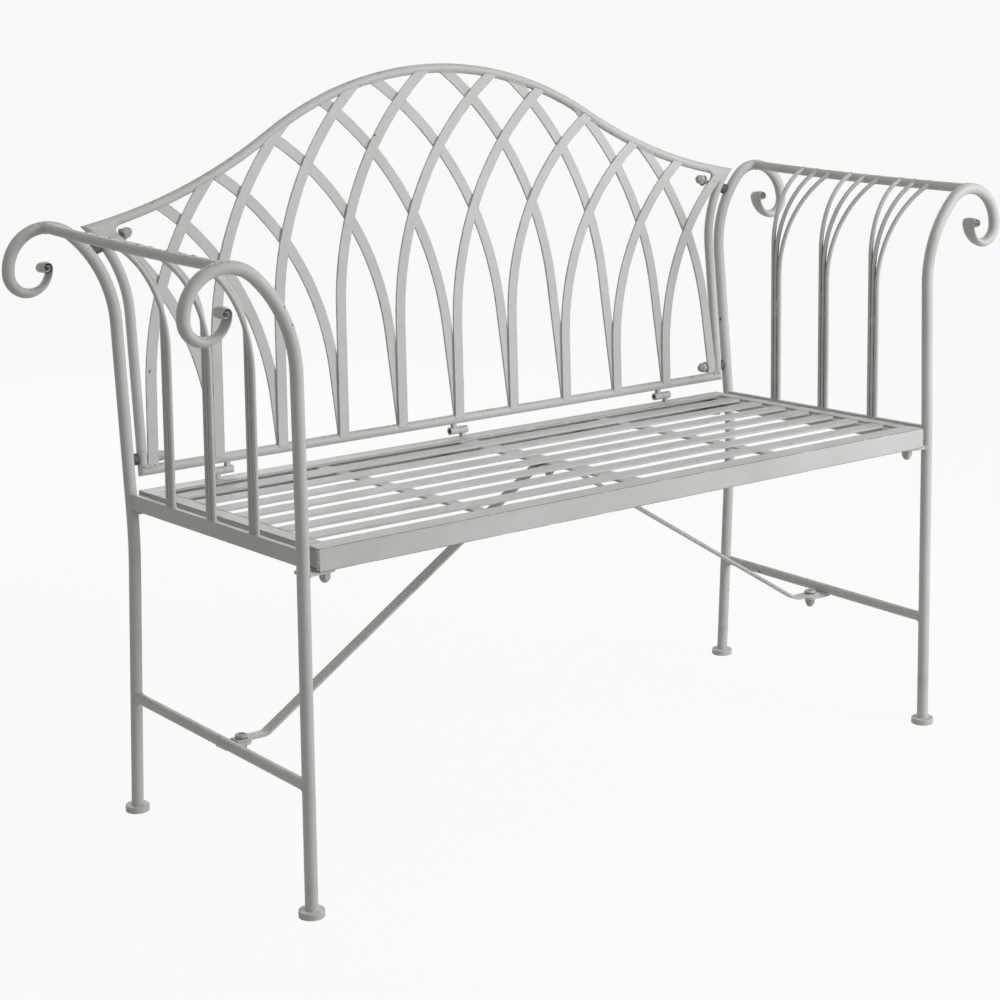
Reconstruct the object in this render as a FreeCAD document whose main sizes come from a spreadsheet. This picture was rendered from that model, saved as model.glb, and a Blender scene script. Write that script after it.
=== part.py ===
import FreeCAD, Part
import Sketcher
import math
import os

# A metal garden bench: two scrolled end frames, a slatted seat and a back of interlaced arches.
# X runs along the bench, Y from its front to its back and Z up, with the feet on Z = 0.

# Driving dimensions in millimetres and degrees
SIZES = {
    # tube and bar stock
    "leg_diameter": 16,
    "rail_diameter": 13.5,
    "stretcher_diameter": 14,
    "rod_diameter": 6.5,
    "plate_thickness": 3,
    # end frames
    "leg_spacing": 1065,
    "leg_depth": 429,
    "rear_splay": 18.9,
    "bend_height": 375,
    "bend_radius": 500,
    "back_rake": 5.8,
    "front_rake": 1,
    "foot_diameter": 32,
    "foot_height": 8,
    "foot_rounding": 1.2,
    "arm_height": 782.5,
    "arm_rise": 6,
    "arm_reach": 89,
    "arm_sag": 2.5,
    "stretcher_height": 159,
    "side_rail_height": 20,
    "side_rail_thickness": 6,
    # scrolls, from the leg to the rolled tip
    "lead_radius": 160,
    "crown_radius": 55,
    "nose_radius": 26,
    "tail_radius": 30,
    "roll_radius": 6.3,
    "roll_gap": 0.2,
    "eye_turn": 120,
    "neck_width": 17,
    "neck_thickness": 12.5,
    "scroll_width": 23,
    "scroll_thickness": 3.2,
    # arm rods, three to a bundle
    "bundle_inset": 107,
    "rod_clearance": 0.2,
    "rod_fan": 30,
    "rod_bend_drop": 125,
    "rod_bend_step": 22,
    "rod_top_lift": 4.5,
    # seat
    "seat_height": 445,
    "seat_slope": 1.33,
    "seat_end_gap": 9.2,
    "seat_rear_overhang": 2,
    "apron_height": 28,
    "flange_width": 30,
    "lip_width": 27,
    "side_flange_width": 20,
    "slat_width": 26,
    "slat_end_gap": 1,
    "strap_spacing": 250,
    "strap_width": 18,
    "centre_strap_width": 30,
    # back
    "back_rail_lift": 27,
    "back_gap": 6,
    "ear_lift": 125.2,
    "crown_rise": 185.3,
    "ear_overhang": 46.5,
    "ear_slope": 10.2,
    "upright_radius": 165,
    "strip_width": 15,
    "strip_thickness": 3,
    "strip_front_inset": 0.3,
    "strip_lean": 3.5,
    "strip_radius": 450,
    "strip_outer_radius": 370,
    "strip_side_gap": 12.5,
    "strip_ear_inset": 12,
    "strip_crown_offset": 105,
    "strip_wide_pitch": 122,
    # hinges between the seat and the back
    "hinge_spacing": 393,
    "knuckle_diameter": 11,
    "knuckle_length": 15,
    "knuckle_gap": 0.5,
    "pin_diameter": 7,
    "pin_recess": 3,
    "hinge_clearance": 0.2,
    "stub_width": 7,
    "stub_length": 6,
    # braces and bolted joints
    "brace_width": 18,
    "brace_bolt_inset": 30,
    "brace_end": 11,
    "brace_flat": 34,
    "brace_bend_radius": 15,
    "brace_top_flat": 22,
    "brace_tab_drop": 8,
    "tab_width": 25,
    "tab_thickness": 4,
    "seat_bolt_inset": 34,
    "seat_bolt_setback": 16,
    "bolt_diameter": 6,
    "bolt_clearance": 0.4,
    "bolt_head_diameter": 15,
    "bolt_head_height": 4,
    "nut_width": 13,
    "nut_height": 8,
    "nut_dome_diameter": 12,
    "washer_diameter": 17,
    "washer_thickness": 1.6,
    "spacer_diameter": 16,
    "spacer_seat": 1.2,
    "lower_bolt_height": 16,
    "upper_bolt_turn": 36.5,
    "upper_bolt_tilt": 20,
}

# Slats of the seat, and strips in each layer of the back
SLATS = 7
STRIPS = 10

# Lengths that follow from the driving dimensions
DERIVED = {
    "half_span": "sizes.leg_spacing / 2",
    "leg_radius": "sizes.leg_diameter / 2",
    "rail_radius": "sizes.rail_diameter / 2",
    "upright_x": "half_span - leg_radius - sizes.back_gap - rail_radius",
    "ear_x": "upright_x + sizes.ear_overhang",
    "arm_x": "half_span + sizes.arm_reach",
    "lead_turn": "acos((sizes.lead_radius - sizes.arm_reach)"
                 " / (sizes.lead_radius - sizes.crown_radius))",
    "scroll_rise": "sizes.lead_radius * sin(lead_turn) + sizes.crown_radius * (1 - sin(lead_turn))",
    "rod_bend_height": "sizes.arm_height - sizes.rod_bend_drop",
    "seat_half": "half_span - leg_radius - sizes.seat_end_gap",
    "slat_length": "2 * (seat_half - sizes.side_flange_width - sizes.slat_end_gap)",
    "seat_rear_height": "sizes.seat_height - sizes.leg_depth * tan(sizes.seat_slope * 1 deg)",
    "back_rail_height": "seat_rear_height + sizes.back_rail_lift",
    "rear_leg_run": "sizes.leg_depth - sizes.rear_splay"
                    " + (seat_rear_height - sizes.bend_height) * tan(sizes.back_rake * 1 deg)",
    "bundle_pitch": "rear_leg_run / 2 - sizes.bundle_inset",
    "seat_depth": "(rear_leg_run + sizes.leg_diameter + sizes.seat_rear_overhang)"
                  " / cos(sizes.seat_slope * 1 deg)",
    "rail_length": "seat_depth - 2 * sizes.plate_thickness",
    "scroll_start": "(sizes.arm_height + sizes.arm_rise - back_rail_height)"
                    " / cos(sizes.back_rake * 1 deg) - scroll_rise",
    "ear_height": "scroll_start + sizes.ear_lift",
    "back_height": "ear_height + sizes.crown_rise",
    "strip_pitch": f"(upright_x - sizes.strip_side_gap) / ({STRIPS} / 2)",
    "strip_rear_face": "rail_radius - sizes.strip_front_inset - 2 * sizes.strip_thickness",
    "bolt_setback": "(sizes.bolt_diameter + sizes.bolt_clearance) / 2 - strip_rear_face",
}

SIDES = {"left": -1, "right": 1}
MITRE_MARGIN = 1.0
MITRE_BLOCK = 60.0

V = FreeCAD.Vector
X_AXIS = V(1, 0, 0)
Y_AXIS = V(0, 1, 0)
Z_AXIS = V(0, 0, 1)

doc = FreeCAD.newDocument("garden_bench")
nodes = {}


def make_sheet(name, cells):
    """Adds a sheet with one named cell for each entry."""
    table = doc.addObject("Spreadsheet::Sheet", name)
    for row, (alias, content) in enumerate(cells.items(), start=1):
        table.set(f"A{row}", alias)
        table.set(f"B{row}", content)
        table.setAlias(f"B{row}", alias)
    doc.recompute()
    return table


sheet = make_sheet("sizes", {alias: str(number) for alias, number in SIZES.items()})
derived = make_sheet("derived", {alias: "=" + formula for alias, formula in DERIVED.items()})


def size(alias):
    """The value of a driving or derived dimension."""
    source = sheet if alias in SIZES else derived
    return float(source.get(alias))


def turn(alias):
    """A driving or derived angle in radians."""
    return math.radians(size(alias))


def value(expression):
    """The number that an expression on the sheets comes to."""
    return float(sheet.evalExpression(expression))


def bind(item, name, expression):
    """Sets a property from an expression on the sheets, or from a number worked out in the code."""
    if isinstance(expression, str):
        item.setExpression(name, expression)
    else:
        setattr(item, name, expression)


def facing(point, direction, across=None):
    """A placement with its Z axis along a direction and its X axis near another."""
    reference = across if across else V(0, 0, 0)
    return FreeCAD.Placement(point, FreeCAD.Rotation(reference, V(0, 0, 0), direction, "ZXY"))


def shifted(place, x, y, z):
    """A placement moved in its own axes."""
    return place.multiply(FreeCAD.Placement(V(x, y, z), FreeCAD.Rotation()))


def make_box(name, length, width, height, place):
    """A block bound to the sheets."""
    block = doc.addObject("Part::Box", name)
    bind(block, "Length", length)
    bind(block, "Width", width)
    bind(block, "Height", height)
    block.Placement = place
    return block


def make_cylinder(name, radius, height, place):
    """A round bar bound to the sheets."""
    bar = doc.addObject("Part::Cylinder", name)
    bind(bar, "Radius", radius)
    bind(bar, "Height", height)
    bar.Placement = place
    return bar


def group(name, members):
    """Separate pieces kept together under one name."""
    compound = doc.addObject("Part::Compound", name)
    compound.Links = members
    return compound


def fuse(name, members):
    """Pieces that are one piece of metal."""
    joined = doc.addObject("Part::MultiFuse", name)
    joined.Shapes = members
    joined.Refine = True
    return joined


def cut(name, base, tools):
    """A piece coped or drilled by others, one after another."""
    for n, tool in enumerate(tools, start=1):
        coped = doc.addObject("Part::Cut", name if n == len(tools) else f"{name}_cut_{n}")
        coped.Base = base
        coped.Tool = tool
        base = coped
    return base


def keep(name, item):
    """Names a finished piece as a node."""
    item.Label = name
    nodes[name] = item
    return item


class Route:
    """A centre line of straight runs and tangent arcs, drawn from its start."""

    def __init__(self, start, heading):
        self.start = start
        self.first_heading = heading
        self.point = start
        self.heading = heading
        self.edges = []

    def run(self, length):
        """Goes straight on, unless the length is nothing."""
        if not length:
            return
        end = self.point + self.heading * length
        self.edges.append(Part.LineSegment(self.point, end).toShape())
        self.point = end

    def bend(self, radius, angle, side):
        """Turns towards a side by an angle, and returns that side as it is after the turn."""
        start, heading = self.point, self.heading
        centre = start + side * radius

        def along(part):
            return centre - side * (radius * math.cos(part)) + heading * (radius * math.sin(part))

        self.edges.append(Part.Arc(start, along(angle / 2), along(angle)).toShape())
        self.point = along(angle)
        self.heading = heading * math.cos(angle) + side * math.sin(angle)
        return side * math.cos(angle) - heading * math.sin(angle)


def make_sweep(name, route, sections):
    """A solid swept along a route through its sections."""
    line = doc.addObject("Part::Feature", name + "_route")
    line.Shape = Part.Wire(route.edges)
    solid = doc.addObject("Part::Sweep", name)
    solid.Sections = sections
    solid.Spine = (line, [f"Edge{n + 1}" for n in range(len(route.edges))])
    solid.Solid = True
    return solid


def round_section(name, diameter, place):
    """A round tube's outline."""
    ring = doc.addObject("Part::Circle", name)
    bind(ring, "Radius", f"sizes.{diameter} / 2")
    ring.Placement = place
    return ring


def oval_section(name, part, place):
    """The outline of a part of the scroll where the tube is pressed flatter."""
    oval = doc.addObject("Part::Ellipse", name)
    bind(oval, "MajorRadius", f"sizes.{part}_width / 2")
    bind(oval, "MinorRadius", f"sizes.{part}_thickness / 2")
    oval.Placement = place
    return oval


def make_tube(name, route, diameter, seam=None):
    """A round tube along a route, its seam turned towards a direction."""
    place = facing(route.start, route.first_heading, seam)
    return make_sweep(name, route, [round_section(name + "_ring", diameter, place)])


def flat_bar(name, route, width, thickness, across, lift):
    """A flat bar along a route, its width lying across and its lower face lifted from the route."""
    outline = doc.addObject("Part::Plane", name + "_outline")
    bind(outline, "Length", f"sizes.{width}")
    bind(outline, "Width", f"sizes.{thickness}")
    place = facing(route.start, route.first_heading, across)
    outline.Placement = shifted(place, -size(width) / 2, lift, 0)
    return make_sweep(name, route, [outline])


def bound_outline(body, role, corners):
    """A closed sketch on one of a body's own planes, with every corner bound to the sheets."""
    plane = next(item for item in body.Origin.OriginFeatures if item.Role == role)
    sketch = body.newObject("Sketcher::SketchObject", body.Name + "_outline")
    sketch.AttachmentSupport = (plane, "")
    sketch.MapMode = "FlatFace"
    points = [V(value(x), value(y), 0) for x, y in corners]
    following = points[1:] + points[:1]
    for start, end in zip(points, following):
        sketch.addGeometry(Part.LineSegment(start, end))
    for n in range(len(points)):
        sketch.addConstraint(Sketcher.Constraint("Coincident", n, 2, (n + 1) % len(points), 1))
    for n, corner in enumerate(corners):
        for kind, expression in zip(("DistanceX", "DistanceY"), corner):
            index = sketch.addConstraint(Sketcher.Constraint(kind, -1, 1, n, 1, value(expression)))
            sketch.setExpression(f"Constraints[{index}]", expression)
    return sketch


def add_pad(body, role, corners, length):
    """A symmetric pad of a bound outline."""
    sketch = bound_outline(body, role, corners)
    pad = body.newObject("PartDesign::Pad", body.Name + "_pad")
    pad.Profile = sketch
    pad.SideType = "Symmetric"
    pad.setExpression("Length", length)
    body.Tip = pad


# Places that the sub-assemblies share
rake = turn("back_rake")
back_up = V(0, math.sin(rake), math.cos(rake))
back_front = V(0, -math.cos(rake), math.sin(rake))
half_span = size("half_span")
leg_radius = size("leg_radius")
rail_radius = size("rail_radius")
plate = size("plate_thickness")

back_run = size("leg_depth") - size("rear_splay")
rail_run = back_run + (size("back_rail_height") - size("bend_height")) * math.tan(rake)
crown_run = rail_run + size("back_height") * math.sin(rake)
front_y = -(crown_run + rail_radius - size("foot_diameter") / 2) / 2
bend_y = front_y + back_run

seat_place = FreeCAD.Placement(
    V(0, front_y - leg_radius, size("seat_height")),
    FreeCAD.Rotation(X_AXIS, -size("seat_slope")),
)


def on_seat(x, y, z):
    """A placement in the seat's own axes: from its front top edge, back along it and up from it."""
    return shifted(seat_place, x, y, z)


def in_seat(point):
    """A point in the seat's own axes."""
    return seat_place.inverse().multVec(point)


def rear_leg_y(height):
    """Where the upper rear leg's axis is at a height."""
    return bend_y + (height - size("bend_height")) * math.tan(rake)


def on_back(x, rise):
    """A point of the back's middle plane: along the bench, and up the slope from the bottom rail."""
    return V(x, rear_leg_y(size("back_rail_height")), size("back_rail_height")) + back_up * rise


# Scroll shared by the four legs
lead_turn = turn("lead_turn")
scroll_rise = size("scroll_rise")


def make_leg(name, route, outward, foot):
    """A leg whose tube ends in an outward scroll, pressed flat at its tail and rolled up at its tip."""
    width_axis = route.heading.cross(outward)
    side = route.bend(size("lead_radius"), lead_turn, outward)
    side = route.bend(size("crown_radius"), math.pi - lead_turn, side)
    tube = make_tube(name + "_tube", route, "leg_diameter")

    nose = Route(route.point, route.heading)
    side = nose.bend(size("nose_radius"), math.pi / 2, side)
    nose_start = facing(nose.start, nose.first_heading, width_axis)
    ring = round_section(name + "_nose_ring", "leg_diameter", nose_start)
    neck = oval_section(name + "_neck", "neck", facing(nose.point, nose.heading, width_axis))
    pressed = make_sweep(name + "_nose", nose, [ring, neck])

    tail = Route(nose.point, nose.heading)
    side = tail.bend(size("tail_radius"), math.pi / 2, side)
    flat = oval_section(name + "_flat", "scroll", facing(tail.point, tail.heading, width_axis))
    flattened = make_sweep(name + "_tail", tail, [neck, flat])

    roll = Route(tail.point, tail.heading)
    step = (size("scroll_thickness") + size("roll_gap")) / 2
    side = roll.bend(size("roll_radius"), math.pi, side)
    side = roll.bend(size("roll_radius") - step, math.pi, side)
    roll.bend(size("roll_radius") - 2 * step, turn("eye_turn"), side)
    rolled = make_sweep(name + "_roll", roll, [flat])

    whole = fuse(name + "_whole", [tube, pressed, flattened, rolled])
    keep(name, cut(name, whole, [foot]))
    return tube


def make_foot(name, x, y):
    """A disc foot with a rounded upper edge."""
    disc = make_cylinder(name + "_disc", "sizes.foot_diameter / 2", "sizes.foot_height",
                         facing(V(x, y, 0), Z_AXIS))
    doc.recompute()
    height = size("foot_height")
    edges = enumerate(disc.Shape.Edges, start=1)
    top = next(n for n, edge in edges if edge.Closed and edge.CenterOfMass.z > height / 2)
    foot = doc.addObject("Part::Fillet", name)
    foot.Base = disc
    foot.Edges = [(top, size("foot_rounding"), size("foot_rounding"))]
    return keep(name, foot)


def make_rods(name, out, bundle_y, rail_height, arm_rail):
    """Three rods, side by side on the side rail, that fan out to the arm rail in ever higher bends."""
    rods = []
    pitch = size("rod_diameter") + size("rod_clearance")
    for n in (-1, 0, 1):
        base_y = bundle_y + n * pitch
        spread = V(out * size("arm_reach"), n * (size("rod_fan") - pitch), 0)
        reach = spread.Length
        uphill = in_seat(V(0, base_y - size("rod_diameter") / 2, size("seat_height")))
        foot_z = seat_place.multVec(V(0, uphill.y, 0)).z
        bend_height = size("rod_bend_height") + n * size("rod_bend_step")
        rise = rail_height(bundle_y + n * size("rod_fan")) + size("rod_top_lift") - bend_height
        radius = (rise ** 2 + reach ** 2) / (2 * reach)
        route = Route(V(out * half_span, base_y, foot_z), Z_AXIS)
        route.run(bend_height - foot_z)
        route.bend(radius, math.atan2(rise, radius - reach), spread / reach)
        rods.append(make_tube(f"{name}_rod_{n + 2}", route, "rod_diameter"))
    keep(name, cut(name, group(name + "_rods", rods), [arm_rail]))


def make_end_frame(side):
    """One end: two scrolled legs on feet, with an arm rail, a side rail, a stretcher and arm rods."""
    out = SIDES[side]
    outward = X_AXIS * out
    x = out * half_span
    rear_foot_y = front_y + size("leg_depth")
    front_foot = make_foot(f"{side}_front_foot", x, front_y)
    rear_foot = make_foot(f"{side}_rear_foot", x, rear_foot_y)

    front_rake = turn("front_rake")
    front_up = V(0, math.sin(front_rake), math.cos(front_rake))
    front_tangent = size("bend_radius") * math.tan(front_rake / 2)
    front_apex = (size("arm_height") - size("seat_height")) / math.cos(front_rake)
    front = Route(V(x, front_y, 0), Z_AXIS)
    front.run(size("seat_height") - front_tangent)
    front.bend(size("bend_radius"), front_rake, Y_AXIS)
    front.run(front_apex - scroll_rise - front_tangent)
    front_leg = make_leg(f"{side}_front_leg", front, outward, front_foot)

    lower = V(0, -size("rear_splay"), size("bend_height"))
    splay = math.atan2(size("rear_splay"), size("bend_height"))
    tangent = size("bend_radius") * math.tan((splay + rake) / 2)
    rear_apex = (size("arm_height") + size("arm_rise") - size("bend_height")) / math.cos(rake)
    inside_foot = size("foot_height") / 2 / size("bend_height")
    rear = Route(V(x, rear_foot_y, 0) + lower * inside_foot, lower / lower.Length)
    rear.run(lower.Length * (1 - inside_foot) - tangent)
    rear.bend(size("bend_radius"), splay + rake, V(0, math.cos(splay), math.sin(splay)))
    rear.run(rear_apex - scroll_rise - tangent)
    rear_leg = make_leg(f"{side}_rear_leg", rear, outward, rear_foot)
    legs = group(f"{side}_leg_tubes", [front_leg, rear_leg])

    arm_x = out * size("arm_x")
    arm_front = V(arm_x, front_y, size("seat_height")) + front_up * front_apex
    arm_back = V(arm_x, bend_y, size("bend_height")) + back_up * rear_apex
    arm_middle = (arm_front + arm_back) / 2 - Z_AXIS * size("arm_sag")
    arm_arc = Part.Arc(arm_front, arm_middle, arm_back)
    arm = Route(arm_front, arm_arc.tangent(arm_arc.FirstParameter)[0])
    arm.edges.append(arm_arc.toShape())
    arm_tube = make_tube(f"{side}_arm_tube", arm, "rail_diameter")
    arm_rail = keep(f"{side}_arm_rail", cut(f"{side}_arm_rail", arm_tube, [legs]))

    def arm_rail_height(y):
        share = (y - arm_front.y) / (arm_back.y - arm_front.y)
        chord = arm_front.z + (arm_back.z - arm_front.z) * share
        return chord - size("arm_sag") * 4 * share * (1 - share)

    seat_rear_y = rear_leg_y(size("seat_rear_height"))
    front_on_seat = in_seat(V(x, front_y, size("seat_height"))).y
    rear_on_seat = in_seat(V(x, seat_rear_y, size("seat_rear_height"))).y
    bar_place = on_seat(x - size("side_rail_thickness") / 2, front_on_seat, -size("side_rail_height"))
    bar = make_box(f"{side}_side_bar", "sizes.side_rail_thickness", rear_on_seat - front_on_seat,
                   "sizes.side_rail_height", bar_place)
    keep(f"{side}_side_rail", cut(f"{side}_side_rail", bar, [legs]))

    stretcher_back = rear_foot_y - size("rear_splay") * size("stretcher_height") / size("bend_height")
    stretcher = make_cylinder(
        f"{side}_stretcher_bar", "sizes.stretcher_diameter / 2", stretcher_back - front_y,
        facing(V(x, front_y, size("stretcher_height")), Y_AXIS),
    )
    keep(f"{side}_stretcher", cut(f"{side}_stretcher", stretcher, [legs]))

    middle_y = (front_y + seat_rear_y) / 2
    for n, bundle in enumerate(("front", "middle", "rear"), start=-1):
        bundle_y = middle_y + n * size("bundle_pitch")
        make_rods(f"{side}_{bundle}_rods", out, bundle_y, arm_rail_height, arm_rail)
    return legs, stretcher


def make_seat_rail(name, mirrored, bolts):
    """A front or rear rail: a channel with its wide flange on top and a bolted lip below."""

    def across(expression):
        return f"derived.seat_depth - ({expression})" if mirrored else expression

    wall = "sizes.plate_thickness"
    drop = "sizes.apron_height"
    corners = [
        ("0", "0"), ("sizes.flange_width", "0"), ("sizes.flange_width", f"-{wall}"), (wall, f"-{wall}"),
        (wall, f"{wall} - {drop}"), ("sizes.lip_width", f"{wall} - {drop}"),
        ("sizes.lip_width", f"-{drop}"), ("0", f"-{drop}"),
    ]
    body = doc.addObject("PartDesign::Body", name + "_channel")
    add_pad(body, "YZ_Plane", [(across(y), z) for y, z in corners], "2 * derived.seat_half")
    body.Placement = seat_place
    keep(name, cut(name, body, bolts))


def make_side_angle(name, out, tab):
    """A side rail: a web between the channels, notched for a tab, with a narrow flange by the slats."""
    wall = "sizes.plate_thickness"
    outer = "derived.seat_half"
    sign = "-" if out < 0 else ""

    def panel(inner, top, bottom):
        corners = ((inner, top), (outer, top), (outer, bottom), (inner, bottom))
        return [(f"{sign}({x})", z) for x, z in corners]

    body = doc.addObject("PartDesign::Body", name + "_angle")
    add_pad(body, "XZ_Plane", panel(f"{outer} - {wall}", f"-{wall}", f"{wall} - sizes.apron_height"),
            "derived.rail_length")
    add_pad(body, "XZ_Plane", panel(f"{outer} - sizes.side_flange_width", "0", f"-{wall}"),
            "derived.seat_depth - 2 * sizes.flange_width")
    body.Placement = on_seat(0, size("seat_depth") / 2, 0)
    keep(name, cut(name, body, [tab]))


def make_seat(bolt_holes):
    """The seat: a frame of four rails, long slats, and cross straps under them."""
    make_seat_rail("seat_front_rail", False, bolt_holes)
    make_seat_rail("seat_rear_rail", True, bolt_holes)
    for side, out in SIDES.items():
        make_side_angle(f"seat_{side}_rail", out, nodes[f"{side}_rear_seat_tab"])

    clear = size("seat_depth") - 2 * size("flange_width")
    gap = (clear - SLATS * size("slat_width")) / (SLATS + 1)
    for n in range(SLATS):
        y = size("flange_width") + gap + n * (size("slat_width") + gap)
        place = on_seat(-size("slat_length") / 2, y, -plate)
        keep(f"seat_slat_{n + 1}", make_box(
            f"seat_slat_{n + 1}", "derived.slat_length", "sizes.slat_width", "sizes.plate_thickness", place))

    end_x = size("seat_half") - size("side_flange_width")
    straps = {
        "left_end": (-end_x, "strap_width"),
        "left": (-size("strap_spacing"), "strap_width"),
        "centre": (0, "centre_strap_width"),
        "right": (size("strap_spacing"), "strap_width"),
        "right_end": (end_x, "strap_width"),
    }
    for name, (x, width) in straps.items():
        place = on_seat(x - size(width) / 2, plate, -2 * plate)
        keep(f"seat_strap_{name}", make_box(
            f"seat_strap_{name}", f"sizes.{width}", "derived.rail_length", "sizes.plate_thickness", place))


def mitre_blocks(name, corner, first, second):
    """Two blocks that meet on the mitre between two tubes leaving a corner, and the overrun they trim."""
    bisector = (first + second) / (first + second).Length
    across = bisector.cross(back_front)
    if across.dot(second) < 0:
        across = across * -1
    overrun = rail_radius / math.tan(math.acos(first.dot(bisector))) + MITRE_MARGIN
    blocks = []
    for tag, normal in (("first", across), ("second", across * -1)):
        place = shifted(facing(corner, normal, bisector), -MITRE_BLOCK / 2, -MITRE_BLOCK / 2, 0)
        blocks.append(make_box(f"{name}_{tag}_mitre", MITRE_BLOCK, MITRE_BLOCK, MITRE_BLOCK, place))
    return blocks, overrun


# Top line of the back: a round crown that turns over, by tangent arcs, to an ear at each end
ear_slope = turn("ear_slope")
ear_x = size("ear_x")
ear_fall = size("back_height") - size("ear_height")
straightness = 1 - math.cos(ear_slope)
chord_along = ear_x * (1 + math.cos(ear_slope)) + ear_fall * math.sin(ear_slope)
chord_square = ear_x ** 2 + ear_fall ** 2
chord_reach = math.sqrt(chord_along ** 2 + 2 * straightness * chord_square)
tangent_length = (chord_reach - chord_along) / (2 * straightness)
crown_fall = math.atan2(ear_fall - tangent_length * math.sin(ear_slope),
                        ear_x - tangent_length * (1 + math.cos(ear_slope)))
crown_arc = tangent_length / math.tan(crown_fall / 2)
ear_arc = tangent_length / math.tan((crown_fall - ear_slope) / 2)

# Line of the uprights: straight, then bent outwards to the ear
upright_radius = size("upright_radius")
upright_turn = math.acos(1 - size("ear_overhang") / upright_radius)
upright_straight = size("ear_height") - upright_radius * math.sin(upright_turn)


def top_rail_rise(x):
    """How far up the slope the top rail's axis is above a place along the bench."""
    if abs(x) < crown_arc * math.sin(crown_fall):
        return size("back_height") - crown_arc + math.sqrt(crown_arc ** 2 - x ** 2)
    centre_x = ear_x + ear_arc * math.sin(ear_slope)
    centre_rise = size("ear_height") + ear_arc * math.cos(ear_slope)
    return centre_rise - math.sqrt(ear_arc ** 2 - (abs(x) - centre_x) ** 2)


def top_route(overrun):
    """The top rail's axis from ear to ear, run on past the ears."""
    heading = X_AXIS * math.cos(ear_slope) + back_up * math.sin(ear_slope)
    upper_side = back_up * math.cos(ear_slope) - X_AXIS * math.sin(ear_slope)
    route = Route(on_back(-ear_x, size("ear_height")) - heading * overrun, heading)
    route.run(overrun)
    upper_side = route.bend(ear_arc, crown_fall - ear_slope, upper_side)
    lower_side = route.bend(crown_arc, 2 * crown_fall, upper_side * -1)
    route.bend(ear_arc, crown_fall - ear_slope, lower_side * -1)
    route.run(overrun)
    return route


def upright_route(out, below, beyond):
    """An upright's axis from the bottom rail to the ear, run on past both."""
    route = Route(on_back(out * size("upright_x"), -below), back_up)
    route.run(below + upright_straight)
    route.bend(upright_radius, upright_turn, X_AXIS * out)
    route.run(beyond)
    return route


class StripLine:
    """The line of one strip in a layer that curves to the right: a lean, then an arc to the top rail.

    The strips that stand on the right half of the bench are bent tighter than the others.
    """

    def __init__(self, number):
        lean = turn("strip_lean")
        middle = STRIPS // 2 - 1
        close_pitch = (ear_x - size("strip_ear_inset") - size("strip_crown_offset")) / (STRIPS - 1 - middle)
        pitch = close_pitch if number > middle else size("strip_wide_pitch")
        self.base_x = (number - STRIPS / 2) * size("strip_pitch")
        top_x = size("strip_crown_offset") + (number - middle) * pitch
        across = top_x - self.base_x
        rise = top_rail_rise(top_x)
        self.heading = (math.sin(lean), math.cos(lean))
        self.side = (math.cos(lean), -math.sin(lean))
        along = across * self.heading[0] + rise * self.heading[1]
        aside = across * self.side[0] + rise * self.side[1]
        bend = size("strip_outer_radius" if self.base_x > 0 else "strip_radius")
        self.radius = min(bend, (along ** 2 + aside ** 2) / (2 * aside))
        self.curve = math.acos(1 - aside / self.radius)
        self.straight = max(0, along - self.radius * math.sin(self.curve))

    def centre(self):
        """The centre of the strip's arc, along the bench and up the slope."""
        x = self.base_x + self.heading[0] * self.straight + self.side[0] * self.radius
        return x, self.heading[1] * self.straight + self.side[1] * self.radius


def make_strips(name, out, opening, tubes):
    """A layer of strips that rise from the bottom rail and all curve to one side, to the top rail."""
    thickness = size("strip_thickness")
    rear_face = size("strip_rear_face")
    lift = rear_face if out < 0 else -rear_face - 2 * thickness
    strips = []
    for n in range(STRIPS):
        line = StripLine(n)
        heading = X_AXIS * (out * line.heading[0]) + back_up * line.heading[1]
        side = X_AXIS * (out * line.side[0]) + back_up * line.side[1]
        route = Route(on_back(out * line.base_x, 0), heading)
        route.run(line.straight)
        route.bend(line.radius, line.curve, side)
        route.run(size("strip_width"))
        strips.append(flat_bar(f"{name}_strip_{n + 1}", route, "strip_width", "strip_thickness", side, lift))
    trimmed = doc.addObject("Part::Common", name + "_trimmed")
    trimmed.Base = group(name + "_strips", strips)
    trimmed.Tool = opening
    keep(name, cut(name, trimmed, tubes))


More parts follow.
